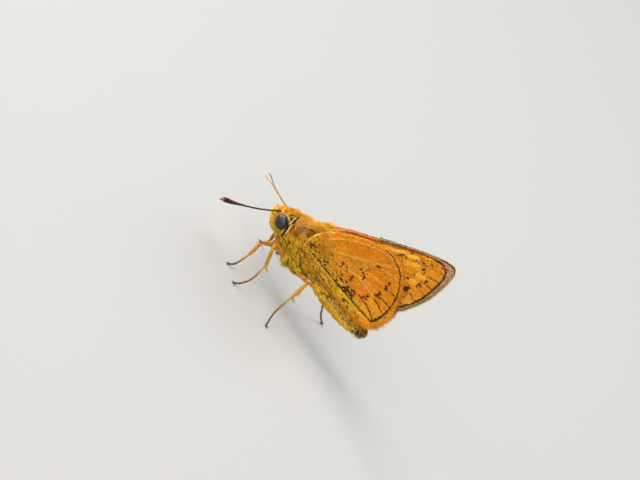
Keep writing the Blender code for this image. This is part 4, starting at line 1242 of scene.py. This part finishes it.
def body_paint(p):
    """Paint of the body's coat over these points of the skin, and how dark each point is."""
    palp, head, abdomen, _ = regions(p)
    broad, blotch, speck = noise(p, 0.7, 41), noise(p, 0.28, 42), noise(p, 0.11, 43)
    palp_paint = mix(YELLOW, linear(246, 204, 84), blotch), 0.35 * smooth(0.66, 0.8, speck)
    paint, dark = thorax_paint(p, broad, blotch, speck)
    for part, (colour, shade) in ((head, head_paint(p, blotch, speck)), (palp, palp_paint),
                                  (abdomen, abdomen_paint(p, broad, blotch, speck))):
        paint = np.where(part[:, None], colour, paint)
        dark = np.where(part, shade, dark)
    return paint, dark


def body_map(p):
    """Places of points of the body on the map of its skin, unrolled along its axis."""
    axis = np.interp(p[:, 0], (-7.1, -4.8, -2.4, 0.9, 8.5), (5.6, 5.8, 5.9, 5.3, 5.5))
    angle = np.arctan2(p[:, 1], axis - p[:, 2]) / (2 * np.pi) + 0.5
    return np.column_stack([(p[:, 0] + 7.2) / 15.9, angle])


def stretched(places):
    """Places of one piece spread over its own map."""
    low, high = places.min(axis=0), places.max(axis=0)
    return (places - low) / np.maximum(high - low, 1e-6) * 0.97 + 0.015


def thorax_lie(p, n):
    """Which way the thorax's coat lies at these points, and the length, width and slope of its hairs."""
    x, y, z = p.T
    ways = np.ones((len(p), 3))
    top = smooth(6.6, 7.8, z)
    under = smooth(4.6, 4.0, z)
    beside = smooth(-3.4, -2.7, x) * smooth(5.6, 6.4, z) * (1 - top)
    ways[:, 0] = 1.0 - 0.75 * beside
    ways[:, 2] = -0.62 + 0.52 * top - 0.7 * under - 0.5 * beside
    ways[:, 1] = 0.12 * np.sign(y)
    swept = smooth(-3.9, -3.0, x) * smooth(7.4, 8.0, z) * (1 - painted_gap_shade(p + (0.4, 0.0, -0.1)))
    swept = swept * smooth(0.2, 0.7, n[:, 2])
    length = 0.60 + 0.18 * top - 0.25 * under + 0.75 * swept
    lift = 0.28 + 0.06 * top - 0.10 * under + 1.00 * swept
    width = 0.046 + 0.006 * top
    nape = smooth(-4.60, -5.00, x) * smooth(6.6, 7.0, z)
    lift = lift + 0.35 * nape
    length = length * (1 - 0.30 * nape)
    ways[:, 0] -= 0.45 * nape
    ways[:, 2] += 0.9 * nape
    hump = np.exp(-(((x + 4.40) / 0.50) ** 2)) * smooth(7.0, 7.6, z)
    length = length * (1 - 0.40 * hump)
    lift = lift * (1 - 0.60 * hump)
    chest = under * np.exp(-(((x + 1.75) / 0.75) ** 2))
    length = length + 0.50 * chest
    lift = lift + 0.75 * chest
    lines = np.maximum(near_nape_lines(p), painted_gap_shade(p + (0.15, 0.0, -0.1)))
    length = length * (1 - 0.55 * lines)
    lift = lift * (1 - 0.5 * lines)
    hidden = inside(np.column_stack([x, z]), HIND.loop) & (np.abs(y) > 0.9)
    hidden &= np.hypot(x + 1.9, z - 7.1) > 1.1
    return ways, np.where(hidden, 0.22, length), width, np.where(hidden, 0.15, lift)


def head_lie(p):
    """The same for the head: the hairs sweep back over the crown and stand out round the eyes."""
    x, y, z = p.T
    count = len(p)
    rise = smooth(5.5, 6.6, z)
    from_face = smooth(-6.3, -5.5, x)
    ways = np.column_stack([-0.25 + 1.1 * from_face * rise, 0.25 * y, -0.9 + 1.7 * rise])
    out = p - np.array(EYE_AT) * np.column_stack([np.ones(count), np.sign(y), np.ones(count)])
    near = (1 - smooth(1.05, 1.5, eye_reach(p)))[:, None]
    ways = ways * (1 - near) + unit(out) * near
    throat = smooth(5.6, 5.1, z)
    ahead = smooth(-5.9, -6.5, x) * rise
    tuft = rise * (1 - near[:, 0]) * (1 - 0.75 * ahead)
    return ways, 0.24 + 0.20 * tuft + 0.18 * throat, 0.044, 0.40 + 0.36 * tuft + 0.2 * throat


def abdomen_lie(p):
    """The same for the abdomen: flat scales that turn to longer hair below and at its tip."""
    x, _, z = p.T
    slope = 0.10 * (z - 5.3) - 0.7 * smooth(7.2, 8.0, x)
    ways = np.column_stack([np.ones(len(p)), np.zeros(len(p)), slope])
    tail = smooth(7.4, 8.2, x)
    belly = smooth(4.9, 4.3, z)
    tuft = tail * smooth(5.7, 5.2, z)
    length = 0.26 + 0.36 * tail + 0.24 * belly + 0.10 * tuft
    return ways, length, 0.070 - 0.035 * np.maximum(tail, belly), 0.20 + 0.24 * belly + 0.35 * tuft


def body_lie(p, n, draw):
    """The same for any points of the body, with no two hairs quite alike."""
    palp, head, abdomen, _ = regions(p)
    count = len(p)
    palp_ways = np.column_stack([np.full(count, -1.0), 0.2 * p[:, 1], 0.25 + 0.5 * (p[:, 2] - 4.7)])
    ways, length, width, lift = thorax_lie(p, n)
    for part, lie in ((head, head_lie(p)), (palp, (palp_ways, 0.27, 0.040, 0.42)), (abdomen, abdomen_lie(p))):
        ways = np.where(part[:, None], lie[0], ways)
        length, width, lift = (np.where(part, new, old) for new, old in zip(lie[1:], (length, width, lift)))
    length = length * draw.uniform(0.75, 1.3, count)
    lift = lift * draw.uniform(0.6, 1.4, count)
    ways = unit(ways) + draw.normal(0, 0.16, (count, 3))
    return ways, length, width, lift


def body_coats(points, faces, material, draw):
    """The coat of the head, each half of the thorax and the abdomen, and the finer hairs over it."""
    spots, normals = scatter(points, faces, COAT_HAIRS, draw)
    palp, head, abdomen, thorax = regions(spots)
    share = np.select([palp, head, abdomen], [0.9, 1.0, 0.56], 0.84)
    share[eye_reach(spots, 0.02) < 1] = 0
    keep = draw.random(len(spots)) < share
    spots, normals = spots[keep], normals[keep]
    palp, head, abdomen, thorax = regions(spots)
    groups = (
        ("head_coat", palp | head, "yellow_coat", HAIR_CUTS),
        ("thorax_coat_left", thorax & (spots[:, 1] < 0), "orange_coat", HAIR_CUTS),
        ("thorax_coat_right", thorax & (spots[:, 1] >= 0), "orange_coat", HAIR_CUTS),
        ("abdomen_coat", abdomen, "abdomen_coat", SCALE_CUTS),
    )
    for name, chosen, slot, cuts in groups:
        p, n = spots[chosen], normals[chosen]
        ways, length, width, lift = body_lie(p, n, draw)
        tips = p + unit(ways) * length[:, None]
        pull = clumped(p, tips, 0.035, 0.40, draw) if cuts is HAIR_CUTS else 0.0
        shape = blades(p, n, ways, length, width, 0.4 * width, lift, droop=0.55,
                       bend=draw.normal(0, 0.15, len(p)), pull=pull, cuts=cuts)
        paint, dark = body_paint(p + unit(ways) * (0.5 * length)[:, None])
        # painted shade in the gap before the hindwing's shoulder, by where each hair reaches
        dark = np.maximum(dark, 0.62 * painted_gap_shade(p + unit(ways) * (0.8 * length)[:, None]))
        streak = noise(p * (0.6, 1, 1), 0.24, 45)
        paint = paint * (0.70 + 0.72 * streak)[:, None]
        root_paint, tip_paint = scaled_paint(paint, dark, draw)
        coat(name, shape, cuts, root_paint * 0.75, tip_paint, stretched(body_map(p)), material, slot)
    stray_hair(points, faces, material, draw)
    nape_lines(points, faces, material, draw)


# The lines behind an eye, seen from the side, and the plum patch behind them
NAPE_PALE = (
    [(-4.66, 6.75), (-4.46, 6.20), (-4.33, 5.75)],
    [(-5.38, 7.09), (-5.09, 6.58), (-4.78, 6.00), (-4.62, 5.37)],
    [(-4.92, 7.92), (-4.96, 7.68), (-4.84, 7.06), (-4.76, 6.60)],
)
NAPE_DARK = (
    [(-5.90, 7.64), (-5.58, 7.32), (-5.20, 6.93), (-4.86, 6.50), (-4.61, 6.02), (-4.42, 5.20)],
    [(-4.74, 7.88), (-4.69, 7.10), (-4.66, 6.60)],
)
PLUM_PATCH = [(-3.80, 7.30), (-3.64, 7.40)]


def near_nape_lines(p):
    """How near each point is to the lines behind an eye, from 0 to 1."""
    flat = p[:, [0, 2]]
    away = np.min([distance_to(flat, line) for line in NAPE_PALE + NAPE_DARK], axis=0)
    away = np.minimum(away, np.maximum(distance_to(flat, [(-4.1, 7.45), (-3.60, 7.36)]) - 0.16, 0))
    return (1 - smooth(0.08, 0.25, away)) * smooth(0.5, 0.8, np.abs(p[:, 1]))


def nape_lines(points, faces, material, draw):
    """Short hairs that draw the lines behind each eye and the plum patch over the short coat there."""
    spots, normals = scatter(points, faces, NAPE_HAIRS, draw)
    flat = spots[:, [0, 2]]
    outer = (np.abs(spots[:, 1]) > 0.45) & (spots[:, 0] < -3.2) & (spots[:, 2] > 5.0)
    groups = [(line, half, "pale") for line, half in zip(NAPE_PALE, (0.035, 0.055, 0.045))]
    groups += [(line, half, "dark") for line, half in zip(NAPE_DARK, (0.050, 0.045))]
    groups.append((PLUM_PATCH, 0.19, "plum"))
    parts = []
    for line, half, tone in groups:
        found = outer & (distance_to(flat, line) < half)
        p, n = spots[found], normals[found]
        line = np.array(line, float)
        way = line[-1] - line[0]
        ways = np.tile(unit(np.array((way[0], 0.0, way[1]))), (len(p), 1)) + draw.normal(0, 0.12, (len(p), 3))
        blend = draw.random(len(p))
        if tone == "pale":
            paint = mix(linear(255, 236, 190), linear(250, 206, 110), blend)
        elif tone == "dark":
            paint = mix(BLACK, BROWN, blend)
        else:
            paint = mix(linear(120, 82, 84), linear(226, 190, 178), (blend > 0.76) * blend)
            paint = np.where((draw.random(len(p)) < 0.35)[:, None], linear(150, 78, 34), paint)
        parts.append((p + n * 0.10, n, ways, paint))
    p, n, ways, paint = (np.concatenate(rows) for rows in zip(*parts))
    count = len(p)
    shape = blades(p, n, ways, draw.uniform(0.18, 0.30, count), 0.034, 0.016, draw.uniform(0.15, 0.35, count),
                   droop=0.6, sink=0.12)
    places = stretched(body_map(p))
    coat("nape_lines", shape, HAIR_CUTS, paint * 0.8, paint, places, material, "orange_coat")


def stray_hair(points, faces, material, draw):
    """Longer, finer hairs that stand out of the coat along the back, the nape and the crown."""
    spots, normals = scatter(points, faces, STRAY_HAIRS, draw)
    high = smooth(6.9, 7.8, spots[:, 2]) * smooth(-6.1, -5.4, spots[:, 0]) * (spots[:, 0] < 0.2)
    # hairs that would cover the painted shade before the hindwing's shoulder are left out
    over = np.maximum(painted_gap_shade(spots + (0.35, 0.0, -0.05)), painted_gap_shade(spots + (0.1, 0.0, 0.0)))
    chosen = (draw.random(len(spots)) < high) & (eye_reach(spots, 0.05) > 1) & (over < 0.2)
    spots, normals = spots[chosen], normals[chosen]
    count = len(spots)
    ways = np.column_stack([np.full(count, 1.0), 0.15 * np.sign(spots[:, 1]), np.full(count, 0.1)])
    ways = ways + draw.normal(0, 0.25, (count, 3))
    swept = smooth(-4.0, -3.0, spots[:, 0])
    length = draw.uniform(0.5, 0.9, count) * (np.where(spots[:, 0] < -4.9, 0.5, 1.0) + 0.8 * swept)
    lift = draw.uniform(0.25, 0.55, count)
    lift = lift + draw.uniform(0.0, 1.05, count) * swept * smooth(0.3, 0.8, normals[:, 2])
    shape = blades(spots, normals, ways, length, draw.uniform(0.020, 0.032, count), 0.012, lift, droop=0.4,
                   bend=draw.normal(0, 0.2, count))
    tips = mix(GOLD, linear(250, 200, 110), draw.random(count))
    places = stretched(body_map(spots))
    coat("stray_hair", shape, HAIR_CUTS, tips * 0.55, tips, places, material, "orange_coat")


# Eyes

def eye(side, word, material):
    """A faceted eye, set in the head."""
    points, faces = ellipsoid(on_side(EYE_AT, side), EYE, EYE_TILT, rings=48, sides=72)
    piece = mesh_piece("eye_ball_" + word, points, faces)
    return dress(piece, material, "eye", "eye_" + word)


def eye_material():
    """Black-brown and glossy, under a skin of fine facets."""
    made, tree, shader = new_material("eye_look")
    spots = tree.nodes.new("ShaderNodeTexCoord")
    facets = tree.nodes.new("ShaderNodeTexVoronoi")
    facets.inputs["Scale"].default_value = 1 / (0.045 * MM)
    facets.inputs["Randomness"].default_value = 0.4
    tree.links.new(spots.outputs["Object"], facets.inputs["Vector"])
    add_bump(tree, shader, facets.outputs["Distance"], -0.006, 0.6)
    shade = tree.nodes.new("ShaderNodeMix")
    shade.data_type = "RGBA"
    shade.inputs["A"].default_value = (*linear(20, 17, 18), 1)
    shade.inputs["B"].default_value = (*linear(36, 30, 28), 1)
    tree.links.new(add_range(tree, add_noise(tree, 0.35), 0, 1), shade.inputs["Factor"])
    tree.links.new(shade.outputs["Result"], shader.inputs["Base Color"])
    tree.links.new(add_range(tree, add_noise(tree, 0.1), 0.34, 0.46), shader.inputs["Roughness"])
    shader.inputs["Specular IOR Level"].default_value = 0.1
    shader.inputs["Coat Weight"].default_value = 0.85
    shader.inputs["Coat Roughness"].default_value = 0.05
    return made


def lashes(side, word, material, draw):
    """Golden bristles that arch over the top of an eye, and dark ones by the antenna's root."""
    count = LASHES
    dark = np.arange(count) < DARK_LASHES
    turn = np.where(dark, draw.uniform(math.radians(105), math.radians(140), count),
                    draw.uniform(math.radians(20), math.radians(165), count))
    x, z = np.cos(turn) * EYE[0] * 0.99, np.sin(turn) * EYE[2] * 0.99
    roots = np.column_stack([TILT_COS * x - TILT_SIN * z, draw.uniform(-0.34, -0.12, count),
                             TILT_SIN * x + TILT_COS * z])
    roots = on_side(roots + EYE_AT, side)
    out = (roots - EYE_AT) * (1, 0, 1)
    normals = unit(out + (0, side * 0.4, 0))
    across = draw.normal(0.25, 0.3, count)
    ways = np.column_stack([across, np.full(count, side * 1.0), draw.normal(0.0, 0.2, count)])
    ways[dark, 0] += 0.4
    length = np.where(dark, draw.uniform(0.3, 0.5, count), draw.uniform(0.16, 0.34, count))
    shape = blades(roots, normals, ways, length, 0.030, 0.018, np.where(dark, 0.55, 0.40), droop=0.9)
    tips = mix(GOLD, linear(255, 226, 150), draw.random(count))
    tips = np.where(dark[:, None], mix(BROWN, BLACK, draw.random(count)), tips)
    places = stretched(roots[:, [0, 2]])
    return coat("eye_lashes_" + word, shape, HAIR_CUTS, tips * 0.7, tips, places, material, "yellow_coat")


# Antennae

ANTENNA = {
    -1: dict(
        shaft=[(-6.30, -0.56, 6.50), (-6.42, -0.68, 6.42), (-7.10, -1.40, 5.86), (-7.78, -2.30, 5.46),
               (-8.54, -3.20, 5.10), (-9.10, -3.78, 4.86)],
        club=[(-9.45, -4.12, 4.69), (-9.95, -4.60, 4.49), (-10.38, -4.98, 4.35), (-10.66, -5.23, 4.26),
              (-10.80, -5.42, 4.15), (-10.84, -5.60, 3.99)],
    ),
    1: dict(
        shaft=[(-6.28, 0.56, 6.60), (-6.40, 0.66, 6.54), (-7.02, 1.20, 6.32), (-7.92, 2.20, 5.93),
               (-8.62, 3.10, 5.58), (-9.06, 3.68, 5.37)],
        club=[(-9.34, 4.04, 5.25), (-9.68, 4.48, 5.10), (-9.98, 4.86, 4.96), (-10.20, 5.12, 4.86),
              (-10.30, 5.30, 4.74), (-10.32, 5.46, 4.58)],
    ),
}
JOINTS = 38


def antenna_line(side):
    """Points along an antenna and its radius at each: a thread, a club and a hooked point."""
    form = ANTENNA[side]
    path = curve(form["shaft"] + form["club"], 24)
    along = lengths(path)
    even = np.linspace(0, along[-1], JOINTS * 6 + 1)
    path = at_lengths(even, along, path)
    part = even / along[-1]
    radius = np.interp(part, (0, 0.02, 0.05, 0.10, 0.55, 0.70, 0.80, 0.87, 0.92, 0.955, 0.98, 1.0),
                       (0.10, 0.115, 0.10, SHAFT, SHAFT, 0.12, 0.19, CLUB, 0.23, 0.15, 0.085, 0.03))
    joint = (part * JOINTS) % 1
    radius = radius * (1 + 0.10 * smooth(0.2, 0.9, joint) - 0.12 * smooth(0.93, 1.0, joint))
    return path, part, radius


def antenna_paint(p, part, path, side):
    """Dark on its outer upper side, pale beneath, with a pale ring on each joint and a rusty tip."""
    nearest = np.clip((part * (len(path) - 1)).astype(int), 0, len(path) - 1)
    out = unit(p - path[nearest])
    facing = out @ unit(np.array((0.45, side * 1.0, 0.35)))
    pale = 1 - smooth(-0.25, 0.15, facing)
    joint = (part * JOINTS) % 1
    dark = mix(linear(40, 30, 22), linear(74, 54, 30), 0.5 + 0.5 * np.sin(part * 90))
    light = mix(linear(196, 146, 78), linear(212, 188, 166), smooth(0.55, 0.80, part))
    paint = mix(dark, light, pale)
    paint = mix(paint, linear(190, 150, 70), 0.55 * (joint < 0.14) * (part < 0.72) * (1 - pale))
    return mix(paint, linear(146, 92, 52), smooth(0.925, 0.95, part) * (1 - 0.5 * pale))


def antenna(side, word, skin, hair, draw):
    """The jointed thread and club, with small flat scales along the thread."""
    path, part, radius = antenna_line(side)
    ways, across, up = along_path(path)
    sides = 16
    rings = [ring_about(*spot, sides) for spot in zip(path, across, up, radius)]
    points, faces = rings_solid(rings, path[0] - ways[0] * 0.05, path[-1] + ways[-1] * 0.03)
    parts = np.concatenate([np.repeat(part, sides), [0.0, 1.0]])
    piece = mesh_piece("antenna_shaft_" + word, points, faces, antenna_paint(points, parts, path, side))
    dress(piece, skin, "antenna", "antenna_" + word)

    count = ANTENNA_SCALES
    places = draw.random(count) ** 0.8 * 0.93
    index = (places * (len(path) - 1)).astype(int)
    turn = draw.uniform(0, 2 * np.pi, count)
    normals = np.cos(turn)[:, None] * across[index] + np.sin(turn)[:, None] * up[index]
    roots = path[index] + normals * radius[index][:, None]
    shape = blades(roots, normals, ways[index], length=draw.uniform(0.08, 0.13, count),
                   width=draw.uniform(0.035, 0.055, count), thick=0.008, lift=draw.uniform(0.12, 0.3, count),
                   cuts=SCALE_CUTS, sink=0.015)
    paint = antenna_paint(roots, places, path, side) * draw.normal(1, 0.12, count)[:, None]
    return coat(f"antenna_scales_{word}", shape, SCALE_CUTS, paint * 0.7, paint,
                stretched(np.column_stack([places, turn])), hair, "antenna")


# Legs: points are (x, distance from the middle plane, z)

LEGS = {
    "fore": dict(
        root=(-4.02, 0.85, 3.72), knee=(-5.03, 2.00, 3.26), heel=(-4.76, 2.90, 1.95),
        foot=[(-4.78, 3.70, 0.98), (-4.88, 4.10, 0.42), (-5.18, 4.42, 0.13)], spurs=[],
    ),
    "mid": dict(
        root=(-2.50, 1.05, 3.85), knee=(-4.20, 2.40, 4.70), heel=(-2.93, 3.60, 2.98),
        foot=[(-2.64, 4.75, 1.55), (-2.85, 5.50, 0.66), (-3.29, 6.00, 0.13)],
        spurs=[(0.03, (0.75, -0.25, -0.35)), (0.03, (0.50, 0.10, -0.50))],
    ),
    "hind": dict(
        root=(-0.70, 0.95, 4.05), knee=(0.98, 2.10, 4.80), heel=(1.18, 4.00, 3.50),
        foot=[(1.27, 4.70, 2.25), (1.46, 5.25, 1.20), (1.94, 5.80, 0.13)],
        spurs=[(0.03, (0.65, 0.25, -0.25)), (0.03, (0.35, 0.45, -0.35)), (0.42, (0.55, 0.28, -0.30)),
               (0.42, (0.30, 0.42, -0.38))],
    ),
    "hind_far": dict(
        root=(-0.70, 0.95, 4.05), knee=(1.60, 2.05, 4.60), heel=(3.20, 3.20, 2.90),
        foot=[(3.90, 3.75, 1.75), (4.45, 4.25, 0.85), (5.15, 4.80, 0.13)],
        spurs=[(0.03, (0.62, 0.25, -0.30)), (0.03, (0.35, 0.40, -0.45)), (0.42, (0.55, 0.15, -0.40)),
               (0.42, (0.35, 0.35, -0.45))],
    ),
}
FEMUR, TIBIA, TARSUS = 0.22, 0.165, 0.095   # radii
FOOT_CLEAR = 0.004                      # lowest that a leg's scales may reach
TARSUS_MARKS = np.array((0, 0.40, 0.58, 0.73, 0.86, 1.0))   # ends of the foot's joints


def leg_lines(kind, side):
    """The femur's, tibia's and foot's lines of one leg."""
    root, knee, heel, foot = (on_side(LEGS[kind][part], side) for part in ("root", "knee", "heel", "foot"))
    foot = curve([heel, *foot], 12)
    start = root - (knee - root) * 0.10
    femur = np.array([start, start * 0.7 + knee * 0.3, start * 0.3 + knee * 0.7, knee])
    tibia = np.array([knee, knee * 0.65 + heel * 0.35, knee * 0.25 + heel * 0.75, heel])
    return femur, tibia, foot


def leg_shapes(kind, side):
    """The femur, the tibia, the joints of the foot, the spurs, the claws and the pad between them."""
    femur, tibia, foot = leg_lines(kind, side)
    knee, heel = femur[-1], tibia[-1]
    shapes = [
        tube(femur, [FEMUR * 0.95, FEMUR * 1.10, FEMUR, FEMUR * 0.72]),
        tube(tibia, [TIBIA * 0.85, TIBIA * 1.12, TIBIA * 1.08, TIBIA * 0.90]),
    ]
    along = lengths(foot)
    marks = TARSUS_MARKS * along[-1]
    for a, b in zip(marks[:-1], marks[1:]):
        spots = at_lengths((a, (a + b) / 2, b), along, foot)
        shapes.append(tube(spots, [TARSUS * 0.78, TARSUS * 0.92, TARSUS * 1.12]))
    for back, reach in LEGS[kind]["spurs"]:
        base = knee * back + heel * (1 - back)
        tip = base + np.array(reach) * (1, -side if kind == "mid" else side, 1)
        shapes.append(tube([base, (base + tip) / 2 + (0, 0, 0.02), tip], [0.055, 0.042, 0.015]))
    toe = foot[-1]
    way = unit((toe - foot[-5]) * (1, 1, 0))
    across = np.cross(way, (0, 0, 1))
    for turn in (-1, 1):
        a = toe + way * 0.05 + across * turn * 0.05
        b = a + way * 0.13 + across * turn * 0.07 + (0, 0, 0.05)
        c = b + way * 0.08 + across * turn * 0.01 - (0, 0, 0.13)
        shapes.append(tube([a, b, c], [0.045, 0.038, 0.015]))
    shapes.append(ellipsoid(toe + way * 0.10 - (0, 0, 0.06), (0.10, 0.10, 0.09), rings=8, sides=12))
    return shapes


def leg_paint(p, kind, side):
    """Paint of a leg, how dark each point is, its place along the leg and the leg's direction there."""
    femur, tibia, foot = leg_lines(kind, side)
    aways = np.stack([distance_to(p, line) for line in (femur, tibia, foot)], 1)
    part = np.argmin(aways, axis=1)
    whole = np.vstack([femur, tibia[1:], foot[1:]])
    reach = lengths(whole)
    nearest = np.array([np.argmin(np.sum((whole - spot) ** 2, axis=1)) for spot in p])
    place = reach[nearest] / reach[-1]
    orange = mix(linear(208, 144, 42), linear(182, 114, 28), noise(p, 0.4, 61))
    dusky = mix(linear(150, 116, 52), linear(84, 64, 34), smooth(0.62, 0.95, place))
    paint = np.where((part == 2)[:, None], mix(orange, dusky, smooth(0.50, 0.72, place)), orange)
    pale = smooth(0.3, -0.4, p[:, 2] - whole[nearest][:, 2])
    paint = mix(paint, linear(232, 190, 104), 0.25 * pale)
    knee_spot = 1 - smooth(0.10, 0.30, np.linalg.norm(p - femur[-1], axis=1))
    dark = np.maximum(0.55 * knee_spot, 0.45 * smooth(0.60, 0.75, noise(p, 0.09, 62)))
    return paint, dark, place, unit(np.gradient(whole, axis=0))[nearest]


def leg(place_word, kind, side, word, skin, hair, draw):
    """One leg from femur to claws, with its scales and a few bristles."""
    points, faces = fused(leg_shapes(kind, side), LEG_VOXEL, 2)
    points[:, 2] = np.maximum(points[:, 2], 0.0)
    paint, dark, _, _ = leg_paint(points, kind, side)
    name = f"{place_word}_{word}"
    piece = mesh_piece("leg_skin_" + name, points, faces, mix(paint, BROWN, 0.5 * dark) * 0.9)
    dress(piece, skin, "leg", "leg_" + name)

    roots, normals = scatter(points, faces, LEG_SCALES, draw)
    paint, dark, place, flow = leg_paint(roots, kind, side)
    keep = (roots[:, 2] > 0.10) & (draw.random(len(roots)) < 0.95 - 0.3 * smooth(0.6, 1.0, place))
    roots, normals, paint, dark, place, flow = (
        rows[keep] for rows in (roots, normals, paint, dark, place, flow))
    count = len(roots)
    bristle = draw.random(count) < 0.07
    length = np.where(bristle, draw.uniform(0.16, 0.30, count), draw.uniform(0.09, 0.15, count))
    width = np.where(bristle, 0.022, draw.uniform(0.045, 0.065, count))
    lift = np.where(bristle, 0.55, draw.uniform(0.10, 0.25, count))
    shape = blades(roots, normals, flow + draw.normal(0, 0.12, (count, 3)), length, width, 0.010, lift,
                   cuts=SCALE_CUTS, sink=0.015)
    shape[0][:, 2] = np.maximum(shape[0][:, 2], FOOT_CLEAR * (1 + draw.random(len(shape[0]))))
    root_paint, tip_paint = scaled_paint(paint, dark, draw)
    turn = np.arctan2(normals[:, 1], normals[:, 2])
    return coat("leg_scales_" + name, shape, SCALE_CUTS, root_paint, tip_paint,
                stretched(np.column_stack([place, turn])), hair, "leg")


# Stage

FLOOR = 1.5                             # radius of the floor, in metres
AWAY = 400.0                            # the camera's distance
FRAME_WIDTH = 64.0                      # width of the photo's frame at the insect
AIM = (-1.7745, 0.0, 7.703)             # what the photo's middle shows
LOOK_DOWN = math.radians(25)
ROLL = math.radians(54)


def floor():
    """A wide disc at z = 0."""
    mesh = bpy.data.meshes.new("floor")
    sides = 96
    ring = ring_about(np.zeros(3), np.array((1, 0, 0)), np.array((0, 1, 0)), FLOOR, sides)
    mesh.from_pydata(ring.tolist(), [], [list(range(sides))])
    made = bpy.data.objects.new("floor", mesh)
    bpy.context.scene.collection.objects.link(made)
    look, _, shader = new_material("floor_look")
    shader.inputs["Base Color"].default_value = (0.36, 0.36, 0.35, 1)
    shader.inputs["Roughness"].default_value = 0.9
    mesh.materials.append(look)


def lamp(name, way, away, size, power, tint=(1, 1, 1)):
    """A soft light, this wide and high, that looks at the insect from this direction."""
    data = bpy.data.lights.new(name, "AREA")
    data.shape = "RECTANGLE"
    data.size, data.size_y = size
    data.energy = power
    data.color = tint
    made = bpy.data.objects.new(name, data)
    way = Vector(way).normalized()
    made.location = Vector((0, 0, 0.008)) + way * away
    made.rotation_mode = "QUATERNION"
    made.rotation_quaternion = way.to_track_quat("Z", "Y")
    made.visible_camera = False
    bpy.context.scene.collection.objects.link(made)


def light():
    """A pale sky and four lamps."""
    world = bpy.data.worlds.new("studio")
    world.use_nodes = True
    sky = world.node_tree.nodes["Background"]
    sky.inputs["Color"].default_value = (0.95, 0.97, 1.0, 1)
    sky.inputs["Strength"].default_value = 0.48
    bpy.context.scene.world = world
    lamp("key", (-0.48, -0.72, 0.78), 0.55, (0.80, 0.80), 4.00, (1.0, 0.96, 0.90))
    lamp("sky", (-0.78, 0.10, 0.62), 0.30, (0.16, 0.50), 1.60, (1.0, 0.97, 0.92))
    lamp("fill", (0.45, -0.90, 0.40), 0.40, (0.30, 0.30), 0.45)
    lamp("rim", (0.5, 0.8, 0.7), 0.35, (0.20, 0.20), 0.55)


def camera():
    """Looks along +Y and down, rolled as the photo is."""
    data = bpy.data.cameras.new("camera")
    data.sensor_width = 36
    data.lens = 36 * AWAY / FRAME_WIDTH
    data.clip_start = 0.01
    data.clip_end = 10
    made = bpy.data.objects.new("camera", data)
    level = Vector((1, 0, 0))
    ahead = Vector((0, math.cos(LOOK_DOWN), -math.sin(LOOK_DOWN)))
    high = Vector((0, math.sin(LOOK_DOWN), math.cos(LOOK_DOWN)))
    right = math.cos(ROLL) * level + math.sin(ROLL) * high
    up = math.cos(ROLL) * high - math.sin(ROLL) * level
    turn = Matrix((right, up, -ahead)).transposed()
    made.rotation_mode = "QUATERNION"
    made.rotation_quaternion = turn.to_quaternion()
    made.location = Vector(in_frame(AIM)) - ahead * AWAY * MM
    bpy.context.scene.collection.objects.link(made)
    bpy.context.scene.camera = made


def build():
    """All pieces of the insect."""
    draw = np.random.default_rng(SEED)
    looks = {
        "hair": painted_material("hair_look", 0.06, 0.55, 0.008),
        "scale": painted_material("scale_look", 0.07, 0.50, 0.006),
        "membrane": painted_material("membrane_look", 0.08, 0.60, 0.02),
        "body": painted_material("body_look", 0.08, 0.75, 0.03),
        "antenna": painted_material("antenna_look", 0.05, 0.50, 0.01),
        "leg": painted_material("leg_look", 0.06, 0.50, 0.015),
    }
    points, faces = body_skin()
    paint, dark = body_paint(points)
    skin = mesh_piece("body_skin", points, faces, mix(paint, BROWN, 0.2 + 0.6 * dark) * 0.7)
    dress(skin, looks["body"], "orange_coat", "head", "thorax", "abdomen", "palp_left", "palp_right")
    body_coats(points, faces, looks["hair"], draw)

    black = eye_material()
    for wing in (FORE, HIND):
        wing.flat_points, wing.flat_faces = wing.sheet(WING_PITCH)
    for side, word in SIDES:
        eye(side, word, black)
        lashes(side, word, looks["hair"], draw)
        antenna(side, word, looks["antenna"], looks["scale"], draw)
        for kind, wing in (("fore", FORE), ("hind", HIND)):
            wing_skin(kind, wing, side, word, looks["membrane"])
            for face in (1, -1):
                wing_coat(kind, wing, face, side, word, looks["scale"], draw)
            wing_fringe(kind, wing, side, word, looks["hair"], draw)
            base_hair(kind, wing, side, word, looks["hair"], draw)
        hind = "hind" if side < 0 else "hind_far"
        for place_word, kind in (("fore", "fore"), ("mid", "mid"), ("hind", hind)):
            leg(place_word, kind, side, word, looks["leg"], looks["scale"], draw)


camera()
build()
floor()
light()
bpy.context.scene.view_settings.view_transform = "Standard"
